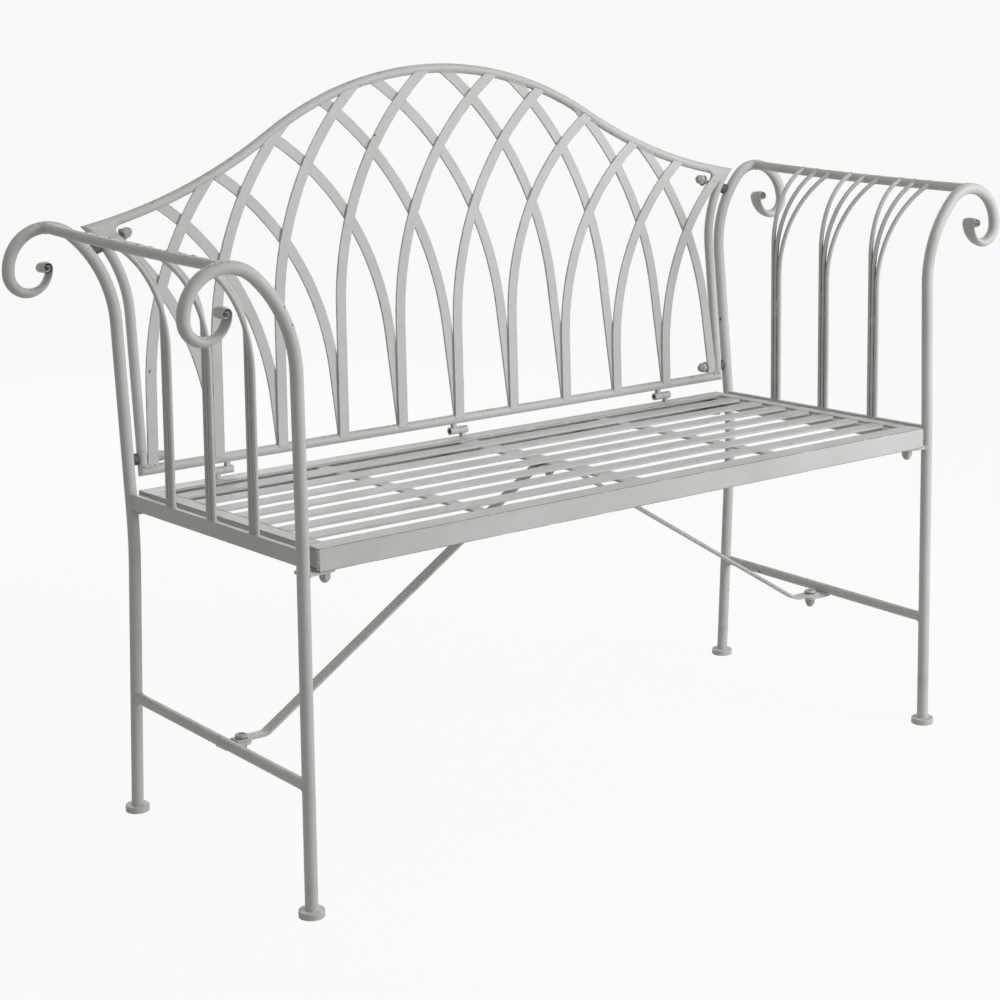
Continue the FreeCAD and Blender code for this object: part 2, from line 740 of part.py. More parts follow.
def make_back(bolt_holes):
    """The back: a mitred frame of four tubes around two layers of strips."""
    corner_blocks = {}
    ear_blocks = {}
    for side, out in SIDES.items():
        along = X_AXIS * out
        upright_end = along * math.sin(upright_turn) + back_up * math.cos(upright_turn)
        rail_end = along * math.cos(ear_slope) - back_up * math.sin(ear_slope)
        corner = on_back(out * size("upright_x"), 0)
        corner_blocks[side], corner_overrun = mitre_blocks(f"{side}_corner", corner, along * -1, back_up)
        ear = on_back(out * ear_x, size("ear_height"))
        ear_blocks[side], ear_overrun = mitre_blocks(f"{side}_ear", ear, rail_end * -1, upright_end * -1)

    bottom_length = 2 * (size("upright_x") + corner_overrun)
    bottom_tube = make_cylinder("back_bottom_tube", "derived.rail_radius", bottom_length,
                                facing(on_back(-bottom_length / 2, 0), X_AXIS))
    bottom_rail = cut("back_bottom_rail", bottom_tube, [corner_blocks[side][0] for side in SIDES])
    keep("back_bottom_rail", bottom_rail)

    top_tube = make_tube("back_top_tube", top_route(ear_overrun), "rail_diameter", back_up)
    keep("back_top_rail", cut("back_top_rail", top_tube, [ear_blocks[side][0] for side in SIDES]))

    uprights = {}
    axes = top_route(0).edges
    axes.append(Part.LineSegment(on_back(-size("upright_x"), 0), on_back(size("upright_x"), 0)).toShape())
    for side, out in SIDES.items():
        route = upright_route(out, corner_overrun, ear_overrun)
        uprights[side] = make_tube(f"back_{side}_tube", route, "rail_diameter", X_AXIS * out)
        name = f"back_{side}_upright"
        trims = [corner_blocks[side][1], ear_blocks[side][1]]
        keep(name, cut(name, uprights[side], trims + bolt_holes[side]))
        axes += upright_route(out, 0, 0).edges

    inside = Part.Face(Part.Wire(Part.__sortEdges__(axes)))
    inside.translate(back_front * -size("rail_diameter"))
    opening = doc.addObject("Part::Feature", "back_opening")
    opening.Shape = inside.extrude(back_front * (2 * size("rail_diameter")))
    tubes = [top_tube, bottom_tube, uprights["left"], uprights["right"]]
    make_strips("lattice_front_strips", 1, opening, tubes)
    make_strips("lattice_rear_strips", -1, opening, tubes)
    return bottom_tube, uprights


def make_hinges(bottom_tube):
    """Three pinned hinges, each with one knuckle on the seat and one on the back."""
    rail_y = rear_leg_y(size("back_rail_height"))
    on_flange = in_seat(V(0, rail_y, size("seat_rear_height")))
    seat_top = seat_place.multVec(V(0, on_flange.y, 0)).z
    axis_z = (seat_top + size("back_rail_height") - rail_radius) / 2
    length = size("knuckle_length")
    offset = (length + size("knuckle_gap")) / 2
    back_side = {"left": 1, "centre": -1, "right": -1}
    places = {"left": -size("hinge_spacing"), "centre": 0, "right": size("hinge_spacing")}
    knuckles = {"seat": [], "back": []}
    pins = []
    for hinge, x in places.items():
        hinge_length = 2 * length + size("knuckle_gap")
        end = facing(V(x - hinge_length / 2, rail_y, axis_z), X_AXIS)
        pins.append(make_cylinder(f"hinge_{hinge}_pin", "sizes.pin_diameter / 2",
                                  hinge_length - 2 * size("pin_recess"),
                                  shifted(end, 0, 0, size("pin_recess"))))
        bore = make_cylinder(f"hinge_{hinge}_bore", "(sizes.pin_diameter + sizes.hinge_clearance) / 2",
                             hinge_length, end)
        for owner in knuckles:
            toward = back_side[hinge] if owner == "back" else -back_side[hinge]
            start = V(x + toward * offset - length / 2, rail_y, axis_z)
            name = f"hinge_{hinge}_{owner}"
            barrel = make_cylinder(name + "_barrel", "sizes.knuckle_diameter / 2", "sizes.knuckle_length",
                                   facing(start, X_AXIS))
            if owner == "back":
                stub_bottom = axis_z
                stub_height = size("back_rail_height") - axis_z
            else:
                stub_bottom = seat_top - plate / 2
                stub_height = axis_z - stub_bottom
            stub_x = x + toward * offset - size("stub_length") / 2
            stub = make_box(name + "_stub", "sizes.stub_length", "sizes.stub_width", stub_height,
                            FreeCAD.Placement(V(stub_x, rail_y - size("stub_width") / 2, stub_bottom),
                                              FreeCAD.Rotation()))
            landing = bottom_tube if owner == "back" else nodes["seat_rear_rail"]
            knuckles[owner].append(cut(name, fuse(name + "_whole", [barrel, stub]), [bore, landing]))
    keep("hinge_pins", group("hinge_pins", pins))
    for owner, members in knuckles.items():
        name = f"hinge_{owner}_knuckles"
        keep(name, group(name, members))


def make_nut(name, place):
    """A domed nut that sits on its placement's plane, with a blind bore for the bolt."""
    hexagon = doc.addObject("Part::Prism", name + "_hexagon")
    hexagon.Polygon = 6
    bind(hexagon, "Circumradius", "sizes.nut_width / sqrt(3)")
    bind(hexagon, "Height", "sizes.nut_height")
    hexagon.Placement = place
    dome = doc.addObject("Part::Sphere", name + "_dome")
    bind(dome, "Radius", "sizes.nut_dome_diameter / 2")
    dome.Angle1 = 0
    dome.Placement = shifted(place, 0, 0, size("nut_height"))
    bore = make_cylinder(name + "_bore", "sizes.bolt_diameter / 2", "sizes.nut_height", place)
    return cut(name, fuse(name + "_whole", [hexagon, dome]), [bore])


def make_hole(name, place, length):
    """The clearance hole of a bolt."""
    return make_cylinder(name, "(sizes.bolt_diameter + sizes.bolt_clearance) / 2", length, place)


def make_shank(name, place, length):
    """A bolt's shank."""
    return make_cylinder(name, "sizes.bolt_diameter / 2", length, place)


def make_bolt(name, place, length):
    """A bolt whose head sits on its placement's plane and whose shank runs along the Z axis."""
    head = make_cylinder(name + "_head", "sizes.bolt_head_diameter / 2", "sizes.bolt_head_height",
                         shifted(place, 0, 0, -size("bolt_head_height")))
    return fuse(name, [head, make_shank(name + "_shank", place, length)])


def make_tab(name, base_x, bolt_x, y, top, tools):
    """A plate with a round end at its bolt, welded to the tube at its other end."""
    thickness = "sizes.tab_thickness"
    bottom = top - size("tab_thickness")
    straight = make_box(name + "_straight", abs(base_x - bolt_x), "sizes.tab_width", thickness,
                        on_seat(min(base_x, bolt_x), y - size("tab_width") / 2, bottom))
    rounded = make_cylinder(name + "_round", "sizes.tab_width / 2", thickness, on_seat(bolt_x, y, bottom))
    keep(name, cut(name, fuse(name + "_whole", [straight, rounded]), tools))


def downward(place):
    """A placement turned to point down."""
    return place.multiply(FreeCAD.Placement(V(0, 0, 0), FreeCAD.Rotation(X_AXIS, 180)))


def make_seat_fixings(legs):
    """The bolts that hold the seat's lips to tabs on the legs, and the holes they need.

    The front tabs lie under the lip, and the rear ones on it, inside the channel.
    """
    lip_bottom = -size("apron_height")
    lip_top = lip_bottom + plate
    grip = plate + size("tab_thickness")
    shank = grip + size("nut_height")
    bolts = []
    nuts = []
    holes = []
    for side, out in SIDES.items():
        bolt_x = out * (half_span - size("seat_bolt_inset"))
        rows = {"front": size("seat_bolt_setback"), "rear": size("seat_depth") - size("seat_bolt_setback")}
        for row, y in rows.items():
            name = f"{side}_{row}_seat"
            if row == "front":
                head_place = downward(on_seat(bolt_x, y, lip_top))
                tab_top = lip_bottom
            else:
                head_place = on_seat(bolt_x, y, lip_bottom)
                tab_top = lip_top + size("tab_thickness")
            hole = make_hole(name + "_hole", head_place, shank)
            make_tab(name + "_tab", out * half_span, bolt_x, y, tab_top, [legs[side], hole])
            bolts.append(make_bolt(name + "_bolt", head_place, shank))
            nuts.append(make_nut(name + "_nut", shifted(head_place, 0, 0, grip)))
            holes.append(hole)
    keep("seat_bolts", group("seat_bolts", bolts))
    keep("seat_nuts", group("seat_nuts", nuts))
    return holes


def make_braces(stretchers):
    """Two bent flat braces from tabs on the stretchers to one stud under the seat's centre strap."""
    y = size("seat_depth") / 2
    tab_height = size("stretcher_height") - size("brace_tab_drop")
    level = in_seat(V(0, front_y + size("leg_depth") / 2, tab_height)).z
    tab_top = level + size("tab_thickness") / 2
    tab_bottom = level - size("tab_thickness") / 2
    strap_bottom = -2 * plate
    bolt_x = half_span - size("brace_bolt_inset")
    radius = size("brace_bend_radius")
    rotation = seat_place.Rotation
    seat_up = rotation.multVec(Z_AXIS)
    nut_height = size("nut_height")

    stack = len(SIDES) * plate
    stud_place = downward(on_seat(0, y, strap_bottom))
    bolts = [make_shank("centre_stud", stud_place, stack + nut_height)]
    nuts = [make_nut("centre_nut", downward(on_seat(0, y, strap_bottom - stack)))]
    centre_hole = make_hole("centre_hole", stud_place, stack)

    for layer, (side, out) in enumerate(SIDES.items()):
        head_place = downward(on_seat(out * bolt_x, y, tab_top + plate))
        shank = plate + size("tab_thickness") + nut_height
        hole = make_hole(f"{side}_brace_hole", head_place, shank)
        make_tab(f"{side}_brace_tab", out * half_span, out * bolt_x, y, tab_top, [stretchers[side], hole])
        bolts.append(make_bolt(f"{side}_brace_bolt", head_place, shank))
        nuts.append(make_nut(f"{side}_brace_nut", downward(on_seat(out * bolt_x, y, tab_bottom))))

        low = tab_top + plate / 2
        rise = strap_bottom - plate * layer - plate / 2 - low
        reach = bolt_x - size("brace_flat") - size("brace_top_flat")
        climb = math.atan2(rise, reach)
        tangent = radius * math.tan(climb / 2)
        start = seat_place.multVec(V(out * (bolt_x + size("brace_end")), y, low))
        route = Route(start, X_AXIS * -out)
        route.run(size("brace_end") + size("brace_flat") - tangent)
        upper_side = route.bend(radius, climb, seat_up)
        route.run(math.hypot(rise, reach) - 2 * tangent)
        route.bend(radius, climb, upper_side * -1)
        route.run(size("brace_top_flat") + size("brace_end") - tangent)
        bar = flat_bar(f"{side}_brace_bar", route, "brace_width", "plate_thickness", rotation.multVec(Y_AXIS),
                       -plate / 2)
        keep(f"{side}_brace", cut(f"{side}_brace", bar, [hole, centre_hole]))
    keep("brace_bolts", group("brace_bolts", bolts))
    keep("brace_nuts", group("brace_nuts", nuts))


def leaves_circle(start, heading, centre, radius):
    """How far a line from inside a circle runs before it leaves it, and the tangent of its slant there."""
    x = start[0] - centre[0]
    y = start[1] - centre[1]
    along = x * heading[0] + y * heading[1]
    distance = math.sqrt(along ** 2 + radius ** 2 - x ** 2 - y ** 2) - along
    outward = (along + distance) / radius
    return distance, math.sqrt(1 - outward ** 2) / outward


class BackBolt:
    """A stud from a rear leg through the upright, with its nut inside the nearest strip."""

    def __init__(self, start, heading, upright_reach, nut_reach):
        self.start = start
        self.heading = heading
        self.upright_reach = upright_reach
        self.nut_reach = nut_reach

    def place(self, out):
        """The stud's placement on one side of the bench, behind the strips."""
        point = on_back(out * self.start[0], self.start[1]) - back_front * size("bolt_setback")
        return facing(point, X_AXIS * (out * self.heading[0]) + back_up * self.heading[1])


def back_bolts():
    """The lower and upper back bolts, drawn for the right side."""
    washer_radius = size("washer_diameter") / 2
    rise = size("lower_bolt_height")
    lean = turn("strip_lean")
    strip_edge = (STRIPS / 2 * size("strip_pitch") - rise * math.tan(lean)
                  - size("strip_width") / 2 / math.cos(lean) - washer_radius * math.tan(lean))
    lower = BackBolt((half_span, rise), (-1, 0), half_span - size("upright_x"), half_span - strip_edge)

    lead = turn("upper_bolt_turn")
    tilt = turn("upper_bolt_tilt")
    start = (half_span + size("lead_radius") * (1 - math.cos(lead)),
             size("scroll_start") + size("lead_radius") * math.sin(lead))
    heading = (-math.cos(tilt), math.sin(tilt))
    bend_centre = (size("upright_x") + upright_radius, upright_straight)
    upright_reach = leaves_circle(start, heading, bend_centre, upright_radius)[0]
    strip = StripLine(STRIPS - 1)
    edge_reach, edge_slant = leaves_circle(
        start, heading, strip.centre(), strip.radius + size("strip_width") / 2)
    upper = BackBolt(start, heading, upright_reach, edge_reach + washer_radius * edge_slant)
    return {"lower": lower, "upper": upper}


def make_back_fixings(bolts, holes, legs, uprights):
    """The studs, spacers, washers and domed nuts that hold the back between the rear legs."""
    studs = []
    spacers = []
    nuts = []
    for side, out in SIDES.items():
        for (row, bolt), hole in zip(bolts.items(), holes[side]):
            name = f"{side}_{row}_back"
            place = bolt.place(out)
            nut_face = bolt.nut_reach + size("washer_thickness")
            shank = make_shank(name + "_shank", place, nut_face + size("nut_height"))
            studs.append(cut(name + "_stud", shank, [legs[side]]))
            first = leg_radius - size("spacer_seat")
            length = bolt.upright_reach - rail_radius + size("spacer_seat") - first
            sleeve = make_cylinder(name + "_sleeve", "sizes.spacer_diameter / 2", length,
                                   shifted(place, 0, 0, first))
            spacers.append(cut(name + "_spacer", sleeve, [legs[side], uprights[side], hole]))
            disc = make_cylinder(name + "_disc", "sizes.washer_diameter / 2", "sizes.washer_thickness",
                                 shifted(place, 0, 0, bolt.nut_reach))
            nuts.append(cut(name + "_washer", disc, [hole]))
            nuts.append(make_nut(name + "_nut", shifted(place, 0, 0, nut_face)))
    keep("back_studs", group("back_studs", studs))
    keep("back_spacers", group("back_spacers", spacers))
    keep("back_nuts", group("back_nuts", nuts))


def make_bench():
    """Builds every sub-assembly in the order in which one is fitted to another."""
    legs = {}
    stretchers = {}
    for side in SIDES:
        legs[side], stretchers[side] = make_end_frame(side)
    make_seat(make_seat_fixings(legs))
    make_braces(stretchers)
    bolts = back_bolts()
    holes = {}
    for side, out in SIDES.items():
        holes[side] = []
        for row, bolt in bolts.items():
            length = bolt.nut_reach + size("washer_thickness")
            holes[side].append(make_hole(f"{side}_{row}_back_hole", bolt.place(out), length))
    bottom_tube, uprights = make_back(holes)
    make_back_fixings(bolts, holes, legs, uprights)
    make_hinges(bottom_tube)


def write_nodes():
    """Checks every object and writes each node as a STEP file."""
    doc.recompute()
    for item in doc.Objects:
        if "Invalid" in item.State or "Error" in item.State:
            raise RuntimeError(f"{item.Name} is {item.State}")
    os.makedirs("parts", exist_ok=True)
    for name, item in nodes.items():
        if item.Shape.isNull() or not item.Shape.isValid() or not item.Shape.Solids:
            raise RuntimeError(f"{name} has no valid solid")
        item.Shape.exportStep(f"parts/{name}.step")


make_bench()
write_nodes()
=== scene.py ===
"""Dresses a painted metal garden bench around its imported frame.

The frame gives every tube, strip and bolt of the bench. This script paints them, and adds what a
workshop leaves on such a bench: weld beads, filled corners, rounded slats and brushed paint that is
worn along its edges. Lengths are in metres.
"""

import logging
import math
from dataclasses import dataclass
from enum import Enum
from typing import Iterable, Optional, Sequence

import bmesh
import bpy
from bpy.types import Material, Mesh, Node, NodeSocket, Object
from mathutils import Matrix, Vector
from mathutils.bvhtree import BVHTree


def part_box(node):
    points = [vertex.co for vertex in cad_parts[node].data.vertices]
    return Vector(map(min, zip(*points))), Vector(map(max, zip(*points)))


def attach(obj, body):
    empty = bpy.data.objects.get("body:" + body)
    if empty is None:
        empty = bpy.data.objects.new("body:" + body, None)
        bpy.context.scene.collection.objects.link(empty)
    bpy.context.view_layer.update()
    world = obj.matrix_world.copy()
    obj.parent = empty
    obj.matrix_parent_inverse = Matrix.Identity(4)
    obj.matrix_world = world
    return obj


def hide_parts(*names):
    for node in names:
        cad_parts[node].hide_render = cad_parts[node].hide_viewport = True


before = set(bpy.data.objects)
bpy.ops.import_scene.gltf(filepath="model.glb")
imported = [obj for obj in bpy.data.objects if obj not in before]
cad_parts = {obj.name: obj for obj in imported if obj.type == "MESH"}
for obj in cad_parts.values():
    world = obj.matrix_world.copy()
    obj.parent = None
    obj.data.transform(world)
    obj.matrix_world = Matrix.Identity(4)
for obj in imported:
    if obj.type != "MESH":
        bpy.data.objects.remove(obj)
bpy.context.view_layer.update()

log = logging.getLogger("garden_bench")

BODY = "root"
PHOTO_PIXELS = 1000
SENSOR_WIDTH = 36.0
SAME_POINT = 1e-5
BUMP_DEPTH = 0.00005
WHITE = (1.0, 1.0, 1.0, 1.0)
REARWARD = Vector((0.0, 1.0, 0.0))
SOCKETS = {float: "NodeSocketFloat", int: "NodeSocketInt", tuple: "NodeSocketVector"}

Colour = tuple[float, float, float]
Triple = tuple[float, float, float]
Pair = tuple[float, float]
Span = tuple[float, float]
Group = bpy.types.NodeTree


class Slot(Enum):
    """Two of the record's material slots, paint and fastener."""

    PAINT = "paint"
    FASTENER = "fastener"


class Side(Enum):
    """The two ends of the bench, with the sign of their place along it."""

    LEFT = -1
    RIGHT = 1

    @property
    def word(self) -> str:
        """The side as it stands in the names of the frame's pieces."""
        return self.name.lower()


class NodeTree:
    """A node tree that is built by adding nodes and joining their sockets."""

    def __init__(self, tree: Group) -> None:
        """Starts from an empty tree.

        Args:
            tree: The tree to fill.
        """
        self.tree = tree
        self.tree.nodes.clear()

    def join(self, start: NodeSocket, end: NodeSocket) -> None:
        """Joins an output to an input."""
        self.tree.links.new(start, end)

    def add(self, kind: str, values: Optional[dict] = None, **settings: object) -> Node:
        """Adds a node.

        Args:
            kind: The node's type.
            values: Values for its unlinked inputs, or sockets to link to them, by name or number.
            settings: Its own properties.

        Returns:
            The new node.
        """
        node = self.tree.nodes.new(kind)
        for name, setting in settings.items():
            setattr(node, name, setting)
        for key, value in (values or {}).items():
            if isinstance(value, NodeSocket):
                self.join(value, node.inputs[key])
            else:
                node.inputs[key].default_value = value
        return node

    def effect(self, group: Group, values: dict) -> NodeSocket:
        """Adds a shared shader group with its own values, and gives its one output."""
        return self.add("ShaderNodeGroup", values, node_tree=group).outputs[0]

    def place(self) -> NodeSocket:
        """Adds the coordinates of the piece itself."""
        return self.add("ShaderNodeTexCoord").outputs["Object"]

    def noise(self, place: NodeSocket, scale: object, detail: float, roughness: float = 0.5) -> Node:
        """Adds a noise pattern.

        Args:
            place: The coordinates' socket.
            scale: How fine the pattern is, as a value or a socket.
            detail: How many finer layers it has.
            roughness: How strong the finer layers are.

        Returns:
            The noise node.
        """
        return self.add("ShaderNodeTexNoise", {
            "Vector": place, "Scale": scale, "Detail": detail, "Roughness": roughness})

    def math(self, operation: str, first: object, second: object = 0.0) -> NodeSocket:
        """Adds a sum, product or other operation on two values.

        Args:
            operation: The operation's name.
            first: The first value or socket.
            second: The second value or socket.

        Returns:
            The result's socket.
        """
        node = self.add("ShaderNodeMath", {0: first, 1: second}, operation=operation)
        return node.outputs[0]

    def ramp(self, value: NodeSocket, span: Sequence[object]) -> NodeSocket:
        """Adds a smooth step from nothing to all.

        Args:
            value: The socket to read.
            span: Where the step starts and where it ends, as values or sockets.

        Returns:
            The result's socket.
        """
        node = self.add("ShaderNodeMapRange", {"Value": value, "From Min": span[0], "From Max": span[1]},
                        interpolation_type="SMOOTHSTEP")
        return node.outputs["Result"]

    def mix(self, share: NodeSocket, first: object, second: object) -> NodeSocket:
        """Adds a mix of two colours.

        Args:
            share: How much of the second colour there is.
            first: The first colour or socket.
            second: The second colour or socket.

        Returns:
            The mixed colour's socket.
        """
        first = first if isinstance(first, NodeSocket) else (*first, 1.0)
        second = second if isinstance(second, NodeSocket) else (*second, 1.0)
        # Inputs 6 and 7 and output 2 are the node's colour sockets.
        node = self.add("ShaderNodeMix", {0: share, 6: first, 7: second}, data_type="RGBA")
        return node.outputs[2]

    def bump(self, height: NodeSocket, strength: float) -> NodeSocket:
        """Adds a shallow bump and gives its normal."""
        node = self.add("ShaderNodeBump", {"Strength": strength, "Distance": BUMP_DEPTH, "Height": height})
        return node.outputs["Normal"]


def new_group(name: str, kind: str, inputs: dict, output: str,
              output_type: str) -> tuple[NodeTree, dict, NodeSocket]:
    """Makes an empty node group with named sockets.

    Args:
        name: The group's name.
        kind: The tree's type.
        inputs: Each input's first value or, where it has none, its socket type, by name.
        output: The name of the one output.
        output_type: The output's socket type.

    Returns:
        The tree, the inputs' sockets by name, and the socket that takes the result.
    """
    tree = bpy.data.node_groups.new(name, kind)
    for label, start in inputs.items():
        if isinstance(start, str):
            tree.interface.new_socket(label, in_out="INPUT", socket_type=start)
        else:
            socket = tree.interface.new_socket(label, in_out="INPUT", socket_type=SOCKETS[type(start)])
            socket.default_value = start
    tree.interface.new_socket(output, in_out="OUTPUT", socket_type=output_type)
    builder = NodeTree(tree)
    entry = builder.add("NodeGroupInput")
    leave = builder.add("NodeGroupOutput")
    return builder, {label: entry.outputs[label] for label in inputs}, leave.inputs[output]


def new_effect(name: str, inputs: dict, output: str = "Mask") -> tuple[NodeTree, dict, NodeSocket]:
    """Makes an empty shader group for an effect that puts out one value."""
    return new_group(name, "ShaderNodeTree", inputs, output, "NodeSocketFloat")


def new_growth(name: str, inputs: dict) -> tuple[NodeTree, dict, NodeSocket]:
    """Makes an empty geometry group that grows a shape with a finish from a start mesh."""
    sockets = {"Geometry": "NodeSocketGeometry", **inputs, "Finish": "NodeSocketMaterial"}
    return new_group(name, "GeometryNodeTree", sockets, "Geometry", "NodeSocketGeometry")


def end_growth(tree: NodeTree, shape: NodeSocket, finish: NodeSocket, end: NodeSocket) -> Group:
    """Ends a geometry group in plain geometry with its finish on.

    Args:
        tree: The group's tree.
        shape: The shape, which may hold instances.
        finish: The group's input for the finish.
        end: The socket that takes the result.

    Returns:
        The group.
    """
    whole = tree.add("GeometryNodeRealizeInstances", {0: shape})
    painted = tree.add("GeometryNodeSetMaterial", {"Geometry": whole.outputs[0], "Material": finish})
    tree.join(painted.outputs[0], end)
    return tree.tree


class SurfaceEffects:
    """Shader groups that more than one finish uses, each built once.

    A span says where a smooth step starts and where it ends.
    """

    edge_turn: Span = (0.99, 0.93)
    edge_break: Span = (-0.02, 0.05)
    edge_samples: int = 6
    ridge_rise: Span = (0.42, 0.85)
    ridge_stretch: Span = (0.0, 0.12)
    ridge_specks: Span = (0.5, 0.6)
    ridge_speck_scale: float = 330.0
    ridge_strength: float = 0.75
    # Painted shade in grooves, with dirt: how enclosed a point must be to darken, and the patches that
    # break it up.
    groove_depth: Span = (0.85, 0.4)
    groove_samples: int = 8
    dirt_patches: Span = (0.2, 0.6)
    dirt_patch_scale: float = 45.0
    chip_ragged_scale: float = 220.0
    chip_raggedness: float = 0.006
    mark_heights: Span = (0.3, 0.7)

    def __init__(self) -> None:
        """Builds the groups."""
        self.edge_wear = self._edge_wear()
        self.ridge_wear = self._ridge_wear()
        self.grime_and_shade = self._grime()
        self.chips = self._chips()
        self.drift = self._drift()
        self.brush_marks = self._brush_marks()

    @staticmethod
    def _beyond(tree: NodeTree, pattern: NodeSocket, cover: NodeSocket) -> NodeSocket:
        """How far a pattern stands over the level that a cover sets, which is lower for more cover."""
        level = tree.math("SUBTRACT", 1.0, cover)
        return tree.math("SUBTRACT", pattern, level)

    def _edge_wear(self) -> Group:
        """Builds bare lines along sharp edges, broken up as hand rubbing leaves them.

        Returns:
            The group.
        """
        tree, given, end = new_effect("edge_wear", {"Width": 0.001, "Break Scale": 30.0, "Cover": 0.5})
        rounded = tree.add("ShaderNodeBevel", {"Radius": given["Width"]}, samples=self.edge_samples)
        surface = tree.add("ShaderNodeNewGeometry")
        aligned = tree.add("ShaderNodeVectorMath", {0: rounded.outputs[0], 1: surface.outputs["Normal"]},
                           operation="DOT_PRODUCT")
        edge = tree.ramp(aligned.outputs["Value"], self.edge_turn)
        patches = tree.noise(tree.place(), given["Break Scale"], detail=5.0, roughness=0.65)
        broken = tree.ramp(self._beyond(tree, patches.outputs["Fac"], given["Cover"]), self.edge_break)
        tree.join(tree.math("MULTIPLY", edge, broken), end)
        return tree.tree

    def _ridge_wear(self) -> Group:
        """Builds thin broken streaks along the tops of rounded pieces, where hands and cloths rub.

        Returns:
            The group.
        """
        tree, given, end = new_effect("ridge_wear", {"Break Scale": 14.0, "Cover": 0.4})
        surface = tree.add("ShaderNodeNewGeometry")
        facing = tree.add("ShaderNodeSeparateXYZ", {0: surface.outputs["Normal"]})
        ridge = tree.ramp(facing.outputs["Z"], self.ridge_rise)
        place = tree.place()
        patches = tree.noise(place, given["Break Scale"], detail=2.0)
        specks = tree.noise(place, self.ridge_speck_scale, detail=5.0, roughness=0.7)
        stretch = tree.ramp(self._beyond(tree, patches.outputs["Fac"], given["Cover"]), self.ridge_stretch)
        broken = tree.ramp(specks.outputs["Fac"], self.ridge_specks)
        rubbed = tree.math("MULTIPLY", ridge, stretch)
        specked = tree.math("MULTIPLY", broken, self.ridge_strength)
        tree.join(tree.math("MULTIPLY", rubbed, specked), end)
        return tree.tree

    def _grime(self) -> Group:
        """Builds darkening in narrow grooves, such as those between touching rods: painted shade where
        nearby surfaces enclose a point, mixed with settled dirt, in uneven patches.

        Returns:
            The group.
        """
        tree, given, end = new_effect("grime_and_shade", {"Reach": 0.004, "Strength": 0.6})
        # Painted shade: the more that nearby surfaces enclose a point, the darker it is painted.
        openness = tree.add("ShaderNodeAmbientOcclusion", {"Distance": given["Reach"]},
                            samples=self.groove_samples, only_local=True)
        groove = tree.ramp(openness.outputs["AO"], self.groove_depth)
        patches = tree.noise(tree.place(), self.dirt_patch_scale, detail=4.0)
        uneven = tree.ramp(patches.outputs["Fac"], self.dirt_patches)
        dirt_and_shade = tree.math("MULTIPLY", tree.math("MULTIPLY", groove, uneven), given["Strength"])
        tree.join(dirt_and_shade, end)
        return tree.tree

    def _chips(self) -> Group:
        """Builds small scattered spots where the paint has come off.

        Returns:
            The group.
        """
        tree, given, end = new_effect("paint_chips", {"Scale": 60.0, "Size": 0.2, "Share": 0.1})
        place = tree.place()
        ragged = tree.noise(place, self.chip_ragged_scale, detail=3.0)
        shift = tree.add("ShaderNodeVectorMath", {
            0: ragged.outputs["Color"], "Scale": self.chip_raggedness}, operation="SCALE")
        moved = tree.add("ShaderNodeVectorMath", {0: place, 1: shift.outputs["Vector"]}, operation="ADD")
        cells = tree.add("ShaderNodeTexVoronoi", {
            "Vector": moved.outputs["Vector"], "Scale": given["Scale"]})
        lot = tree.add("ShaderNodeSeparateColor", {"Color": cells.outputs["Color"]})
        chosen = tree.math("LESS_THAN", lot.outputs[0], given["Share"])
        width = tree.math("MULTIPLY", given["Size"], lot.outputs[1])
        inside = tree.math("LESS_THAN", cells.outputs["Distance"], width)
        tree.join(tree.math("MULTIPLY", chosen, inside), end)
        return tree.tree

    @staticmethod
    def _drift() -> Group:
        """Builds slow changes of tone across a surface.

        Returns:
            The group.
        """
        tree, given, end = new_effect("tone_drift", {"Scale": 5.0, "Low": 0.35, "High": 0.65})
        noise = tree.noise(tree.place(), given["Scale"], detail=6.0, roughness=0.6)
        tree.join(tree.ramp(noise.outputs["Fac"], (given["Low"], given["High"])), end)
        return tree.tree

    @staticmethod
    def _brush_marks() -> Group:
        """Builds fine marks drawn out along one axis, as a brush or drawn metal leaves them.

        Returns:
            The group.
        """
        tree, given, end = new_effect("brush_marks", {"Scale": 400.0, "Stretch": (1.0, 1.0, 0.1)}, "Height")
        drawn = tree.add("ShaderNodeVectorMath", {0: tree.place(), 1: given["Stretch"]},
                         operation="MULTIPLY")
        noise = tree.noise(drawn.outputs["Vector"], given["Scale"], detail=4.0, roughness=0.55)
        tree.join(noise.outputs["Fac"], end)
        return tree.tree

    def drifting(self, tree: NodeTree, scale: float, span: Span) -> NodeSocket:
        """Places the slow changes of tone in a material."""
        return tree.effect(self.drift, {"Scale": scale, "Low": span[0], "High": span[1]})

    def marks(self, tree: NodeTree, scale: float, stretch: Triple) -> NodeSocket:
        """Places the fine marks in a material."""
        return tree.effect(self.brush_marks, {"Scale": scale, "Stretch": stretch})

    def sheen(self, tree: NodeTree, marks: NodeSocket, span: Span) -> NodeSocket:
        """Turns the height of fine marks into a roughness.

        Args:
            tree: The material's tree.
            marks: The marks' height.
            span: The roughness of the lowest and the highest marks.

        Returns:
            The roughness.
        """
        low, high = self.mark_heights
        spread = tree.add("ShaderNodeMapRange", {
            "Value": marks, "From Min": low, "From Max": high, "To Min": span[0], "To Max": span[1]})
        return spread.outputs["Result"]


def new_material(name: str) -> tuple[Material, NodeTree, Node]:
    """Makes a material that holds one principled shader.

    Args:
        name: The material's name.

    Returns:
        The material, its tree and the shader.
    """
    material = bpy.data.materials.new(name)
    material.use_nodes = True
    tree = NodeTree(material.node_tree)
    shader = tree.add("ShaderNodeBsdfPrincipled")
    output = tree.add("ShaderNodeOutputMaterial")
    tree.join(shader.outputs["BSDF"], output.inputs["Surface"])
    return material, tree, shader


